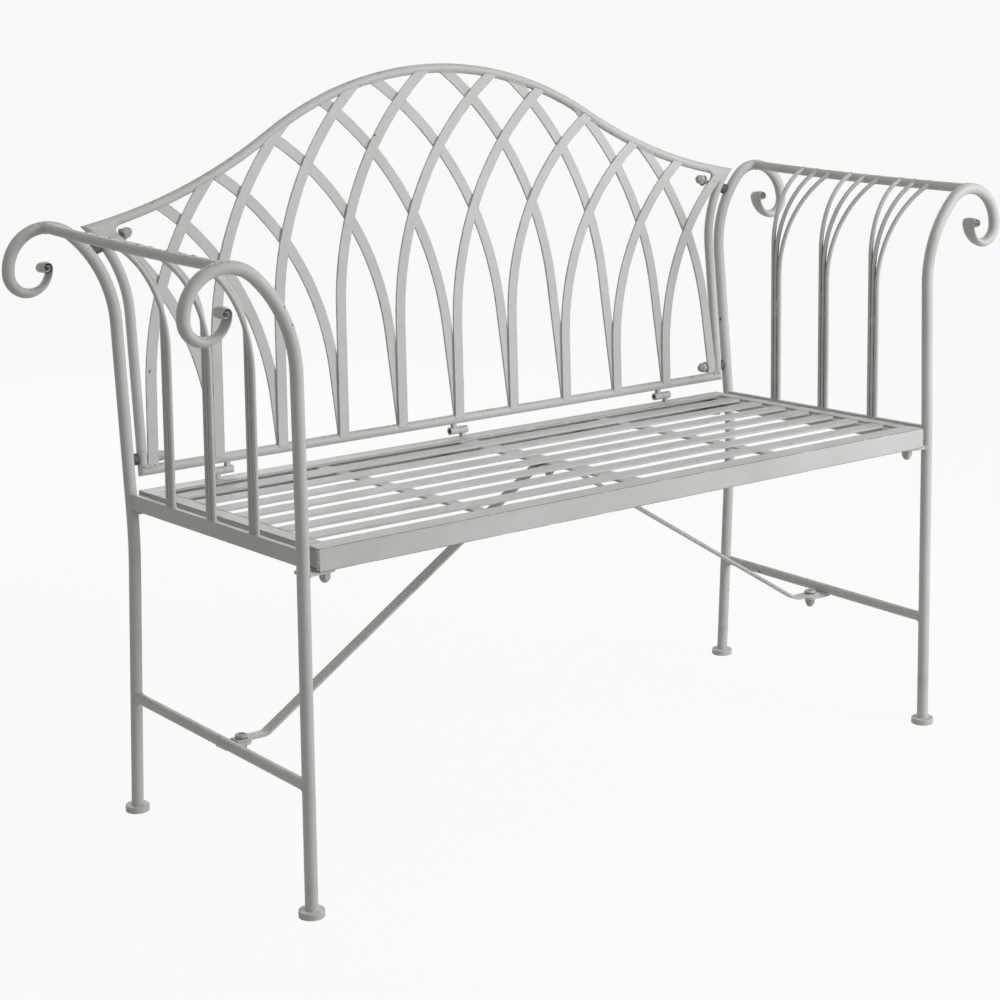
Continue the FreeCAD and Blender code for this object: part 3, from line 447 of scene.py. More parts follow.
@dataclass(frozen=True)
class WornPaint:
    """Pale grey paint, brushed on and rubbed back to a brown coat along the edges."""

    name: str
    pale: Colour = (0.600, 0.602, 0.598)
    dull: Colour = (0.545, 0.545, 0.535)
    wash: Colour = (0.330, 0.295, 0.250)
    rubbed: Colour = (0.250, 0.195, 0.155)
    bare: Colour = (0.125, 0.078, 0.056)
    chip: Colour = (0.105, 0.085, 0.072)
    # The colour that enclosed grooves darken to: painted shade, with dirt's brown in it.
    groove: Colour = (0.125, 0.078, 0.056)
    dull_scale: float = 5.0
    dull_span: Span = (0.3, 0.7)
    wash_scale: float = 11.0
    wash_span: Span = (0.56, 0.72)
    wash_strength: float = 0.14
    edge_width: float = 0.0011
    edge_cover: float = 0.52
    edge_break: float = 26.0
    edge_roughness: float = 0.2
    ridge_cover: float = 0.0
    ridge_break: float = 9.0
    groove_dirt: float = 0.0
    groove_reach: float = 0.008
    chip_scale: float = 110.0
    chip_size: float = 0.24
    chip_share: float = 0.014
    chip_depth: float = 1.5
    brush_scale: float = 380.0
    brush_stretch: Triple = (1.0, 1.0, 0.08)
    brush_depth: float = 0.12
    roughness: Span = (0.46, 0.62)
    shine: float = 0.4

    def make(self, effects: SurfaceEffects) -> Material:
        """Builds the paint.

        Args:
            effects: The shared shader groups.

        Returns:
            The material.
        """
        material, tree, shader = new_material(self.name)
        colour = tree.mix(effects.drifting(tree, self.dull_scale, self.dull_span), self.pale, self.dull)
        thinned = effects.drifting(tree, self.wash_scale, self.wash_span)
        colour = tree.mix(tree.math("MULTIPLY", thinned, self.wash_strength), colour, self.wash)
        worn_edges: object = 0.0
        if self.edge_cover:
            worn_edges = tree.effect(effects.edge_wear, {
                "Width": self.edge_width, "Break Scale": self.edge_break, "Cover": self.edge_cover})
            colour = tree.mix(worn_edges, colour, self.bare)
        if self.ridge_cover:
            ridges = tree.effect(effects.ridge_wear, {
                "Break Scale": self.ridge_break, "Cover": self.ridge_cover})
            colour = tree.mix(ridges, colour, self.rubbed)
        # Painted shade with dirt: grooves darken towards the groove colour by how enclosed they are.
        if self.groove_dirt:
            grime_and_shade = tree.effect(effects.grime_and_shade, {"Reach": self.groove_reach, "Strength": self.groove_dirt})
            colour = tree.mix(grime_and_shade, colour, self.groove)
        chips = tree.effect(effects.chips, {
            "Scale": self.chip_scale, "Size": self.chip_size, "Share": self.chip_share})
        colour = tree.mix(chips, colour, self.chip)
        tree.join(colour, shader.inputs["Base Color"])

        marks = effects.marks(tree, self.brush_scale, self.brush_stretch)
        sheen = effects.sheen(tree, marks, self.roughness)
        rough = tree.math("ADD", sheen, tree.math("MULTIPLY", worn_edges, self.edge_roughness))
        tree.join(rough, shader.inputs["Roughness"])
        height = tree.math("SUBTRACT", marks, tree.math("MULTIPLY", chips, self.chip_depth))
        tree.join(tree.bump(height, self.brush_depth), shader.inputs["Normal"])
        shader.inputs["Specular IOR Level"].default_value = self.shine
        return material


@dataclass(frozen=True)
class DullSteel:
    """Zinc-plated steel that has gone dull."""

    name: str
    clean: Colour = (0.300, 0.290, 0.268)
    tarnish: Colour = (0.120, 0.108, 0.094)
    tarnish_scale: float = 90.0
    tarnish_span: Span = (0.38, 0.66)
    edge_width: float = 0.0006
    edge_cover: float = 0.6
    edge_break: float = 120.0
    edge_strength: float = 0.5
    mark_scale: float = 900.0
    mark_stretch: Triple = (1.0, 0.2, 0.2)
    roughness: Span = (0.38, 0.58)
    metallic: float = 0.55

    def make(self, effects: SurfaceEffects) -> Material:
        """Builds the steel.

        Args:
            effects: The shared shader groups.

        Returns:
            The material.
        """
        material, tree, shader = new_material(self.name)
        drift = effects.drifting(tree, self.tarnish_scale, self.tarnish_span)
        colour = tree.mix(drift, self.clean, self.tarnish)
        # Edges turn towards the clean colour: metal rubbed clean, and a painted highlight.
        edges = tree.effect(effects.edge_wear, {
            "Width": self.edge_width, "Break Scale": self.edge_break, "Cover": self.edge_cover})
        colour = tree.mix(tree.math("MULTIPLY", edges, self.edge_strength), colour, self.clean)
        tree.join(colour, shader.inputs["Base Color"])
        marks = effects.marks(tree, self.mark_scale, self.mark_stretch)
        tree.join(effects.sheen(tree, marks, self.roughness), shader.inputs["Roughness"])
        shader.inputs["Metallic"].default_value = self.metallic
        return material


@dataclass(frozen=True)
class DarkNylon:
    """Moulded dark grey plastic with a fine satin grain."""

    name: str
    dark: Colour = (0.070, 0.070, 0.068)
    scuffed: Colour = (0.120, 0.118, 0.112)
    scuff_scale: float = 150.0
    scuff_span: Span = (0.45, 0.75)
    grain_scale: float = 2600.0
    grain_stretch: Triple = (1.0, 1.0, 1.0)
    grain_depth: float = 0.3
    roughness: Span = (0.45, 0.6)

    def make(self, effects: SurfaceEffects) -> Material:
        """Builds the plastic.

        Args:
            effects: The shared shader groups.

        Returns:
            The material.
        """
        material, tree, shader = new_material(self.name)
        drift = effects.drifting(tree, self.scuff_scale, self.scuff_span)
        tree.join(tree.mix(drift, self.dark, self.scuffed), shader.inputs["Base Color"])
        grain = effects.marks(tree, self.grain_scale, self.grain_stretch)
        tree.join(effects.sheen(tree, grain, self.roughness), shader.inputs["Roughness"])
        tree.join(tree.bump(grain, self.grain_depth), shader.inputs["Normal"])
        return material


@dataclass
class Finishes:
    """Every finish on the bench, ready to put on."""

    tube_paint: Material
    leg_paint: Material
    strip_paint: Material
    rail_paint: Material
    slat_paint: Material
    fixing_paint: Material
    steel: Material
    nylon: Material

    @classmethod
    def make(cls) -> "Finishes":
        """Builds the shared effects and the finishes that use them.

        Returns:
            The finishes.
        """
        effects = SurfaceEffects()
        along_bench = (0.08, 1.0, 1.0)
        tube_paint = WornPaint("tube_paint", edge_cover=0.0, ridge_cover=0.57, groove_dirt=1.0,
                               wash_strength=0.26)
        # The legs' enclosed grooves darken to a neutral dark grey: painted shade.
        leg_paint = WornPaint("leg_paint", edge_cover=0.0, ridge_cover=0.57, groove_dirt=0.9,
                              groove_reach=0.004, groove=(0.060, 0.060, 0.064), wash_strength=0.26)
        strip_paint = WornPaint("strip_paint", edge_width=0.0010, edge_cover=0.46)
        rail_paint = WornPaint("rail_paint", edge_width=0.0018, edge_cover=0.61, brush_stretch=along_bench)
        slat_paint = WornPaint("slat_paint", edge_cover=0.42, brush_stretch=along_bench)
        fixing_paint = WornPaint("fixing_paint", pale=(0.520, 0.518, 0.505), dull=(0.440, 0.432, 0.412),
                                 edge_width=0.0006, groove_dirt=0.8, wash_strength=0.3)
        return cls(
            tube_paint=tube_paint.make(effects),
            leg_paint=leg_paint.make(effects),
            strip_paint=strip_paint.make(effects),
            rail_paint=rail_paint.make(effects),
            slat_paint=slat_paint.make(effects),
            fixing_paint=fixing_paint.make(effects),
            steel=DullSteel("dull_steel").make(effects),
            nylon=DarkNylon("dark_nylon").make(effects),
        )


def dress(names: Iterable[str], material: Material) -> None:
    """Puts a finish on pieces of the frame.

    Args:
        names: The pieces' names.
        material: The finish.
    """
    for name in names:
        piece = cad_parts[name]
        if not piece.material_slots:
            piece.data.materials.append(material)
        for slot in piece.material_slots:
            slot.material = material


def settle(piece: Object, stands_for: Sequence[str] = ()) -> None:
    """Fixes a finished piece to the bench and reports it.

    Args:
        piece: The piece, with its place in its mesh.
        stands_for: Pieces of the frame that it is shown in place of.
    """
    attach(piece, BODY)
    if stands_for:
        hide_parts(*stands_for)
    log.info("%s: %d faces", piece.name, len(piece.data.polygons))


def placed(name: str, data: bpy.types.ID) -> Object:
    """Adds an object to the scene.

    Args:
        name: The object's name.
        data: Its mesh, lens or lamp.

    Returns:
        The object.
    """
    thing = bpy.data.objects.new(name, data)
    bpy.context.scene.collection.objects.link(thing)
    return thing


def formed(name: str, shape: bmesh.types.BMesh, material: Material) -> Object:
    """Makes a piece of a finished shape.

    Args:
        name: The piece's name.
        shape: The shape, which is freed.
        material: The finish.

    Returns:
        The piece.
    """
    mesh = bpy.data.meshes.new(name)
    shape.to_mesh(mesh)
    shape.free()
    mesh.materials.append(material)
    return placed(name, mesh)


def surface_of(names: Iterable[str]) -> BVHTree:
    """Gathers the surfaces of pieces of the frame, to look for points on them.

    Args:
        names: The pieces' names.

    Returns:
        The surfaces.
    """
    whole = bmesh.new()
    for name in names:
        whole.from_mesh(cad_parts[name].data)
    surface = BVHTree.FromBMesh(whole)
    whole.free()
    return surface


def grown(name: str, start: Mesh, tree: Group, values: dict) -> Object:
    """Grows a plain mesh from a start mesh through a geometry tree.

    Args:
        name: The new piece's name.
        start: The mesh that the tree reads.
        tree: The geometry tree.
        values: The tree's inputs by name.

    Returns:
        An object whose mesh is the tree's result, with no modifier left on it.
    """
    source = placed(name + "_start", start)
    modifier = source.modifiers.new(name, "NODES")
    modifier.node_group = tree
    for item in tree.interface.items_tree:
        if item.item_type == "SOCKET" and item.in_out == "INPUT" and item.name in values:
            modifier[item.identifier] = values[item.name]
    bpy.context.view_layer.update()
    evaluated = source.evaluated_get(bpy.context.evaluated_depsgraph_get())
    mesh = bpy.data.meshes.new_from_object(evaluated)
    source.modifiers.remove(modifier)
    bpy.data.objects.remove(source)
    mesh.name = name
    return placed(name, mesh)


def point_mesh(name: str, points: Sequence[Vector]) -> Mesh:
    """Makes a start mesh of loose points.

    Args:
        name: The name of the piece that will grow from it.
        points: The points.

    Returns:
        The mesh.
    """
    mesh = bpy.data.meshes.new(name + "_points")
    mesh.from_pydata([tuple(point) for point in points], [], [])
    return mesh


class Welds:
    """Weld beads, along given lines or where coped pieces meet what they are welded to."""

    reach: float = 0.0004
    face_reach: float = 0.002
    lump_scale: float = 380.0
    sides: int = 6

    def __init__(self) -> None:
        """Builds the bead's geometry tree."""
        self.tree = self._bead_tree()

    def _bead_tree(self) -> Group:
        """Builds a bead that follows the start mesh's edges, lumpy along its length.

        Returns:
            The geometry tree.
        """
        tree, given, end = new_growth("weld_bead", {
            "Bead Radius": 0.0014, "Step": 0.0012, "Lumps": 0.35, "Seed": 3.0})
        line = tree.add("GeometryNodeMeshToCurve", {"Mesh": given["Geometry"]})
        even = tree.add("GeometryNodeResampleCurve", {"Curve": line.outputs[0], "Length": given["Step"]},
                        mode="LENGTH")
        noise = tree.add("ShaderNodeTexNoise", {
            "W": given["Seed"], "Scale": self.lump_scale, "Detail": 1.0}, noise_dimensions="4D")
        swing = tree.math("MULTIPLY", tree.math("SUBTRACT", noise.outputs["Fac"], 0.5), given["Lumps"])
        radius = tree.math("MULTIPLY", given["Bead Radius"], tree.math("ADD", 1.0, swing))
        sized = tree.add("GeometryNodeSetCurveRadius", {"Curve": even.outputs[0], "Radius": radius})
        ring = tree.add("GeometryNodeCurvePrimitiveCircle", {"Resolution": self.sides, "Radius": 1.0})
        bead = tree.add("GeometryNodeCurveToMesh", {
            "Curve": sized.outputs[0], "Profile Curve": ring.outputs[0], "Fill Caps": True})
        # Where the node has a scale of its own, the curve's radius is handed to it.
        if "Scale" in bead.inputs:
            thickness = tree.add("GeometryNodeInputRadius")
            tree.join(thickness.outputs[0], bead.inputs["Scale"])
        soft = tree.add("GeometryNodeSetShadeSmooth", {0: bead.outputs[0]})
        return end_growth(tree, soft.outputs[0], given["Finish"], end)

    def _seam_edges(self, name: str, landing: BVHTree, seams: bmesh.types.BMesh, limit: float) -> int:
        """Copies the edges around one piece's coped faces.

        Args:
            name: The coped piece.
            landing: The surfaces that it meets.
            seams: Where the edges go.
            limit: How far from the bench's middle the edges are copied.

        Returns:
            How many edges were found.
        """
        whole = bmesh.new()
        whole.from_mesh(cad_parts[name].data)
        bmesh.ops.remove_doubles(whole, verts=whole.verts, dist=SAME_POINT)
        touching = {v for v in whole.verts if landing.find_nearest(v.co, self.reach)[0] is not None}
        coped = {face for face in whole.faces if all(v in touching for v in face.verts)
                 and landing.find_nearest(face.calc_center_median(), self.face_reach)[0] is not None}
        made: dict = {}
        found = 0
        for edge in whole.edges:
            if sum(face in coped for face in edge.link_faces) != 1:
                continue
            if all(abs(v.co.x) > limit for v in edge.verts):
                continue
            ends = []
            for v in edge.verts:
                if v not in made:
                    made[v] = seams.verts.new(v.co)
                ends.append(made[v])
            seams.edges.new(ends)
            found += 1
        whole.free()
        return found

    def make(self, name: str, joints: dict, radius: float, material: Material,
             limit: float = math.inf) -> Object:
        """Welds a set of pieces.

        Args:
            name: The beads' name.
            joints: For each coped piece, the pieces that it is welded to.
            radius: The bead's radius.
            material: The finish.
            limit: How far from the bench's middle beads are laid.

        Returns:
            The beads, as one piece.
        """
        seams = bmesh.new()
        for piece, landings in joints.items():
            found = self._seam_edges(piece, surface_of(landings), seams, limit)
            log.info("%s meets %s along %d edges", piece, ", ".join(landings), found)
        mesh = bpy.data.meshes.new(name + "_seams")
        seams.to_mesh(mesh)
        seams.free()
        return grown(name, mesh, self.tree, {"Bead Radius": radius, "Finish": material})

    def lay(self, name: str, lines: Sequence[tuple[Vector, Vector]], radius: float, lumps: float,
            material: Material) -> Object:
        """Lays beads along straight lines.

        Args:
            name: The beads' name.
            lines: Each line's two ends.
            radius: The bead's radius.
            lumps: How uneven the bead is, as a share of its radius.
            material: The finish.

        Returns:
            The beads, as one piece.
        """
        mesh = bpy.data.meshes.new(name + "_lines")
        ends = [tuple(point) for line in lines for point in line]
        mesh.from_pydata(ends, [(2 * n, 2 * n + 1) for n in range(len(lines))], [])
        return grown(name, mesh, self.tree, {"Bead Radius": radius, "Lumps": lumps, "Finish": material})


class WeldSpots:
    """Small drops of weld, such as those that tie neighbouring rods together."""

    subdivisions: int = 3

    def __init__(self) -> None:
        """Builds the spots' geometry tree."""
        self.tree = self._spot_tree()

    def _spot_tree(self) -> Group:
        """Builds a long drop of metal at every point of the start mesh.

        Returns:
            The geometry tree.
        """
        tree, given, end = new_growth("weld_spots", {
            "Spot Size": (0.002, 0.002, 0.006), "Swing": 0.25, "Seed": 7})
        drop = tree.add("GeometryNodeMeshIcoSphere", {"Radius": 1.0, "Subdivisions": self.subdivisions})
        soft = tree.add("GeometryNodeSetShadeSmooth", {0: drop.outputs[0]})
        least = tree.math("SUBTRACT", 1.0, given["Swing"])
        most = tree.math("ADD", 1.0, given["Swing"])
        # Inputs 2 and 3 and output 1 are the node's sockets for plain numbers.
        lot = tree.add("FunctionNodeRandomValue", {2: least, 3: most, "Seed": given["Seed"]},
                       data_type="FLOAT")
        size = tree.add("ShaderNodeVectorMath", {0: given["Spot Size"], "Scale": lot.outputs[1]},
                        operation="SCALE")
        spots = tree.add("GeometryNodeInstanceOnPoints", {
            "Points": given["Geometry"], "Instance": soft.outputs[0], "Scale": size.outputs["Vector"]})
        return end_growth(tree, spots.outputs[0], given["Finish"], end)

    def make(self, name: str, points: Sequence[Vector], size: Triple, material: Material) -> Object:
        """Sets a spot at each point.

        Args:
            name: The spots' name.
            points: Where the spots are.
            size: Half the spot's width, depth and height.
            material: The finish.

        Returns:
            The spots, as one piece.
        """
        return grown(name, point_mesh(name, points), self.tree, {"Spot Size": size, "Finish": material})


@dataclass
class EndFrame:
    """One end of the bench: legs, feet, rails and arm rods."""

    side: Side
    bead_radius: float = 0.0016
    rod_bead_radius: float = 0.0009
    bundles: Sequence[str] = ("front", "middle", "rear")
    rod_diameter: float = 0.0065
    tie_drop: float = 0.205
    tie_size: Triple = (0.0024, 0.0012, 0.007)

    def _named(self, *words: str) -> list[str]:
        """The names of this end's pieces."""
        return [f"{self.side.word}_{word}" for word in words]

    def _rods(self) -> list[str]:
        """The names of this end's bundles of rods."""
        return self._named(*(f"{bundle}_rods" for bundle in self.bundles))

    def dress(self, finishes: Finishes) -> None:
        """Paints the end frame.

        Args:
            finishes: The finishes.
        """
        flat = self._named("side_rail", "front_seat_tab", "rear_seat_tab", "brace_tab")
        round_pieces = self._named("front_foot", "rear_foot", "arm_rail", "stretcher") + self._rods()
        dress(self._named("front_leg", "rear_leg"), finishes.leg_paint)
        dress(flat, finishes.strip_paint)
        dress(round_pieces, finishes.tube_paint)

    def _rod_ties(self) -> list[Vector]:
        """Finds the points between neighbouring rods, just below where they part.

        Returns:
            The points.
        """
        points = []
        for name in self._rods():
            low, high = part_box(name)
            inner = low[0] if self.side is Side.RIGHT else high[0]
            across = inner + self.side.value * self.rod_diameter / 2
            middle = (low[1] + high[1]) / 2
            for gap in (-1, 1):
                along = middle + gap * self.rod_diameter / 2
                points.append(Vector((across, along, high[2] - self.tie_drop)))
        return points

    def build(self, welds: Welds, spots: WeldSpots, finishes: Finishes) -> None:
        """Adds the weld beads of this end and the ties between its rods.

        Args:
            welds: The bead maker.
            spots: The maker of the ties between rods.
            finishes: The finishes.
        """
        end = self.side.word
        paint = finishes.tube_paint
        legs = self._named("front_leg", "rear_leg")
        on_legs = self._named("arm_rail", "side_rail", "stretcher", "front_seat_tab", "rear_seat_tab")
        joints = {name: legs for name in on_legs}
        joints[f"{end}_brace_tab"] = self._named("stretcher")
        settle(welds.make(f"{end}_frame_welds", joints, self.bead_radius, paint))
        rods = {name: self._named("arm_rail", "side_rail") for name in self._rods()}
        settle(welds.make(f"{end}_rod_welds", rods, self.rod_bead_radius, paint))
        settle(spots.make(f"{end}_rod_ties", self._rod_ties(), self.tie_size, paint))


@dataclass
class Seat:
    """The seat: four rails, long slats and the straps under them."""

    slats: Sequence[str] = tuple(f"seat_slat_{n + 1}" for n in range(7))
    slat_width: float = 0.026
    slat_thickness: float = 0.003
    slat_corner: float = 0.005
    slat_corner_steps: int = 6
    soft_edge: float = 0.0005
    soft_segments: int = 2
    straps: Sequence[str] = ("left_end", "left", "centre", "right", "right_end")
    corner_bead: float = 0.0028
    corner_lumps: float = 1.6
    corner_margin: float = 0.003

    def _slat_tree(self) -> Group:
        """Builds a flat slat with rounded end corners at every point of the start mesh.

        Returns:
            The geometry tree.
        """
        tree, given, end = new_growth("rounded_slats", {
            "Length": 1.0, "Width": 0.026, "Thickness": 0.003, "Corner": 0.005, "Slope": 0.0})
        outline = tree.add("GeometryNodeCurvePrimitiveQuadrilateral", {
            "Width": given["Length"], "Height": given["Width"]}, mode="RECTANGLE")
        rounded = tree.add("GeometryNodeFilletCurve", {
            "Curve": outline.outputs[0], "Radius": given["Corner"], "Count": self.slat_corner_steps},
            mode="POLY")
        plate = tree.add("GeometryNodeFillCurve", {"Curve": rounded.outputs[0]}, mode="NGONS")
        raised = tree.add("GeometryNodeExtrudeMesh", {
            "Mesh": plate.outputs[0], "Offset Scale": given["Thickness"], "Individual": False},
            mode="FACES")
        under = tree.add("GeometryNodeFlipFaces", {"Mesh": plate.outputs[0]})
        shell = tree.add("GeometryNodeJoinGeometry")
        for half in (raised, under):
            tree.join(half.outputs[0], shell.inputs[0])
        closed = tree.add("GeometryNodeMergeByDistance", {
            "Geometry": shell.outputs[0], "Distance": SAME_POINT})
        half_down = tree.add("ShaderNodeCombineXYZ", {"Z": tree.math("MULTIPLY", given["Thickness"], -0.5)})
        centred = tree.add("GeometryNodeTransform", {
            "Geometry": closed.outputs[0], "Translation": half_down.outputs[0]})
        turn = tree.add("ShaderNodeCombineXYZ", {"X": given["Slope"]})
        rows = tree.add("GeometryNodeInstanceOnPoints", {
            "Points": given["Geometry"], "Instance": centred.outputs[0], "Rotation": turn.outputs[0]})
        return end_growth(tree, rows.outputs[0], given["Finish"], end)

    def dress(self, finishes: Finishes) -> None:
        """Paints the rails, straps and slats.

        Args:
            finishes: The finishes.
        """
        dress([f"seat_{word}_rail" for word in ("front", "rear", "left", "right")], finishes.rail_paint)
        dress([f"seat_strap_{word}" for word in self.straps], finishes.slat_paint)
        dress(self.slats, finishes.slat_paint)

    def _corner_lines(self) -> list[tuple[Vector, Vector]]:
        """Finds the upright seams where the side rails butt against the front rail, seen from each end.

        Returns:
            Each seam's two ends.
        """
        low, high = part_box("seat_front_rail")
        lines = []
        for side in Side:
            side_low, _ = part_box(f"seat_{side.word}_rail")
            across = side.value * high[0]
            foot = Vector((across, side_low[1], low[2] + self.corner_margin))
            head = Vector((across, side_low[1], high[2] - self.corner_margin))
            lines.append((foot, head))
        return lines

    def build(self, welds: Welds, finishes: Finishes) -> None:
        """Makes the slats with rounded end corners, in place of the plain ones, and the corner welds.

        Args:
            welds: The bead maker.
            finishes: The finishes.
        """
        boxes = [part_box(name) for name in self.slats]
        centres = [(Vector(low) + Vector(high)) / 2 for low, high in boxes]
        run = centres[-1] - centres[0]
        length = boxes[0][1][0] - boxes[0][0][0]
        slats = grown("seat_slats", point_mesh("seat_slats", centres), self._slat_tree(), {
            "Length": length, "Width": self.slat_width, "Thickness": self.slat_thickness,
            "Corner": self.slat_corner, "Slope": math.atan2(run.z, run.y), "Finish": finishes.slat_paint})
        edges = slats.modifiers.new("soft_edges", "BEVEL")
        edges.width = self.soft_edge
        edges.segments = self.soft_segments
        edges.limit_method = "ANGLE"
        settle(slats, self.slats)
        corners = welds.lay("seat_corner_welds", self._corner_lines(), self.corner_bead, self.corner_lumps,
                            finishes.fixing_paint)
        settle(corners)


@dataclass
class Back:
    """The back: a frame of four tubes and two layers of curved strips.

    A place on an ear is a pair: how far it is from the bench's middle, and how high.
    """

    layers: Sequence[str] = ("lattice_front_strips", "lattice_rear_strips")
    tubes: Sequence[str] = ("back_bottom_rail", "back_top_rail", "back_left_upright", "back_right_upright")
    bead_radius: float = 0.0011
    bead_limit: float = 0.5075
    ear_tip: Pair = (0.5600, 0.7822)
    ear_on_upright: Pair = (0.5465, 0.7680)
    ear_on_rail: Pair = (0.5150, 0.7903)
    ear_fillet: Sequence[Pair] = ((0.5215, 0.7822), (0.5245, 0.7795), (0.5242, 0.7765))
    ear_on_strip: Sequence[Pair] = ((0.5188, 0.7697), (0.5358, 0.7662))
    ear_proud: float = 0.0004
    ear_sink: float = 0.0010
    ear_reach: float = 0.005
    ear_depth: float = 0.004
    corner_spots: Sequence[Pair] = ((0.0085, 0.0125), (0.0155, 0.0120), (0.0220, 0.0130))
    corner_spot_size: Triple = (0.0045, 0.0020, 0.0024)

    def dress(self, finishes: Finishes) -> None:
        """Paints the tubes and the strips."""
        dress(self.tubes, finishes.tube_paint)
        dress(self.layers, finishes.strip_paint)

    def _front(self) -> BVHTree:
        """The surfaces of the tubes and strips, to look for the foremost one."""
        return surface_of((*self.tubes, *self.layers))

    @staticmethod
    def _foremost(surface: BVHTree, side: Side, place: Pair) -> Optional[Vector]:
        """Finds the foremost point of the back at a place.

        Args:
            surface: The surfaces to look at.
            side: The end of the bench.
            place: How far out and how high to look.

        Returns:
            The point, or nothing where the back is open.
        """
        start = Vector((side.value * place[0], 0.0, place[1]))
        return surface.ray_cast(start, REARWARD)[0]

    def _ear_outline(self, surface: BVHTree, side: Side) -> tuple[list[Vector], Vector]:
        """Finds the corner between the top rail, the upright and the strip of one ear.

        Args:
            surface: The surfaces of the back.
            side: The end of the bench.

        Returns:
            The corner's outline, and its middle, which stands a little proud.
        """
        low = self._foremost(surface, side, self.ear_on_upright)
        high = self._foremost(surface, side, self.ear_on_rail)
        lean = (high.y - low.y) / (high.z - low.z)
        outline = []
        for place in (self.ear_tip, self.ear_on_rail, *self.ear_fillet, *self.ear_on_strip,
                      self.ear_on_upright):
            level = low.y + (place[1] - low.z) * lean
            point = self._foremost(surface, side, place)
            if point is None or point.y - level > self.ear_reach:
                point = Vector((side.value * place[0], level + self.ear_sink, place[1]))
            outline.append(point)
        middle = sum(outline, Vector()) / len(outline)
        middle.y = low.y + (middle.z - low.z) * lean - self.ear_proud
        return outline, middle

    def _ear_fills(self, material: Material) -> Object:
        """Fills the inside corner of each ear with a flat fillet of weld.

        Args:
            material: The finish.

        Returns:
            Both fills, as one piece.
        """
        surface = self._front()
        shape = bmesh.new()
        deeper = REARWARD * self.ear_depth
        for side in Side:
            outline, centre = self._ear_outline(surface, side)
            front = [shape.verts.new(point) for point in outline]
            rear = [shape.verts.new(point + deeper) for point in outline]
            middle = shape.verts.new(centre)
            rear_middle = shape.verts.new(centre + deeper)
            for n, point in enumerate(front):
                after = (n + 1) % len(front)
                shape.faces.new((middle, point, front[after]))
                shape.faces.new((rear_middle, rear[after], rear[n]))
                shape.faces.new((point, rear[n], rear[after], front[after]))
        bmesh.ops.recalc_face_normals(shape, faces=shape.faces)
        return formed("ear_fills", shape, material)

    def _corner_points(self) -> list[Vector]:
        """Finds the points on the back's lower corners where the weld is thick and uneven.

        Returns:
            The points.
        """
        surface = self._front()
        low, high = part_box("back_bottom_rail")
        points = []
        for side in Side:
            for inwards, up in self.corner_spots:
                hit = self._foremost(surface, side, (high[0] - inwards, low[2] + up))
                if hit is not None:
                    points.append(hit)
        return points

    def build(self, welds: Welds, spots: WeldSpots, finishes: Finishes) -> None:
        """Adds the beads where the strips end on the tubes, and the welds of the corners.

        Args:
            welds: The bead maker.
            spots: The maker of the lumps in the lower corners.
            finishes: The finishes.
        """
        paint = finishes.strip_paint
        joints = {layer: self.tubes for layer in self.layers}
        settle(welds.make("lattice_welds", joints, self.bead_radius, paint, self.bead_limit))
        settle(self._ear_fills(paint))
        corners = spots.make("back_corner_welds", self._corner_points(), self.corner_spot_size,
                             finishes.fixing_paint)
        settle(corners)


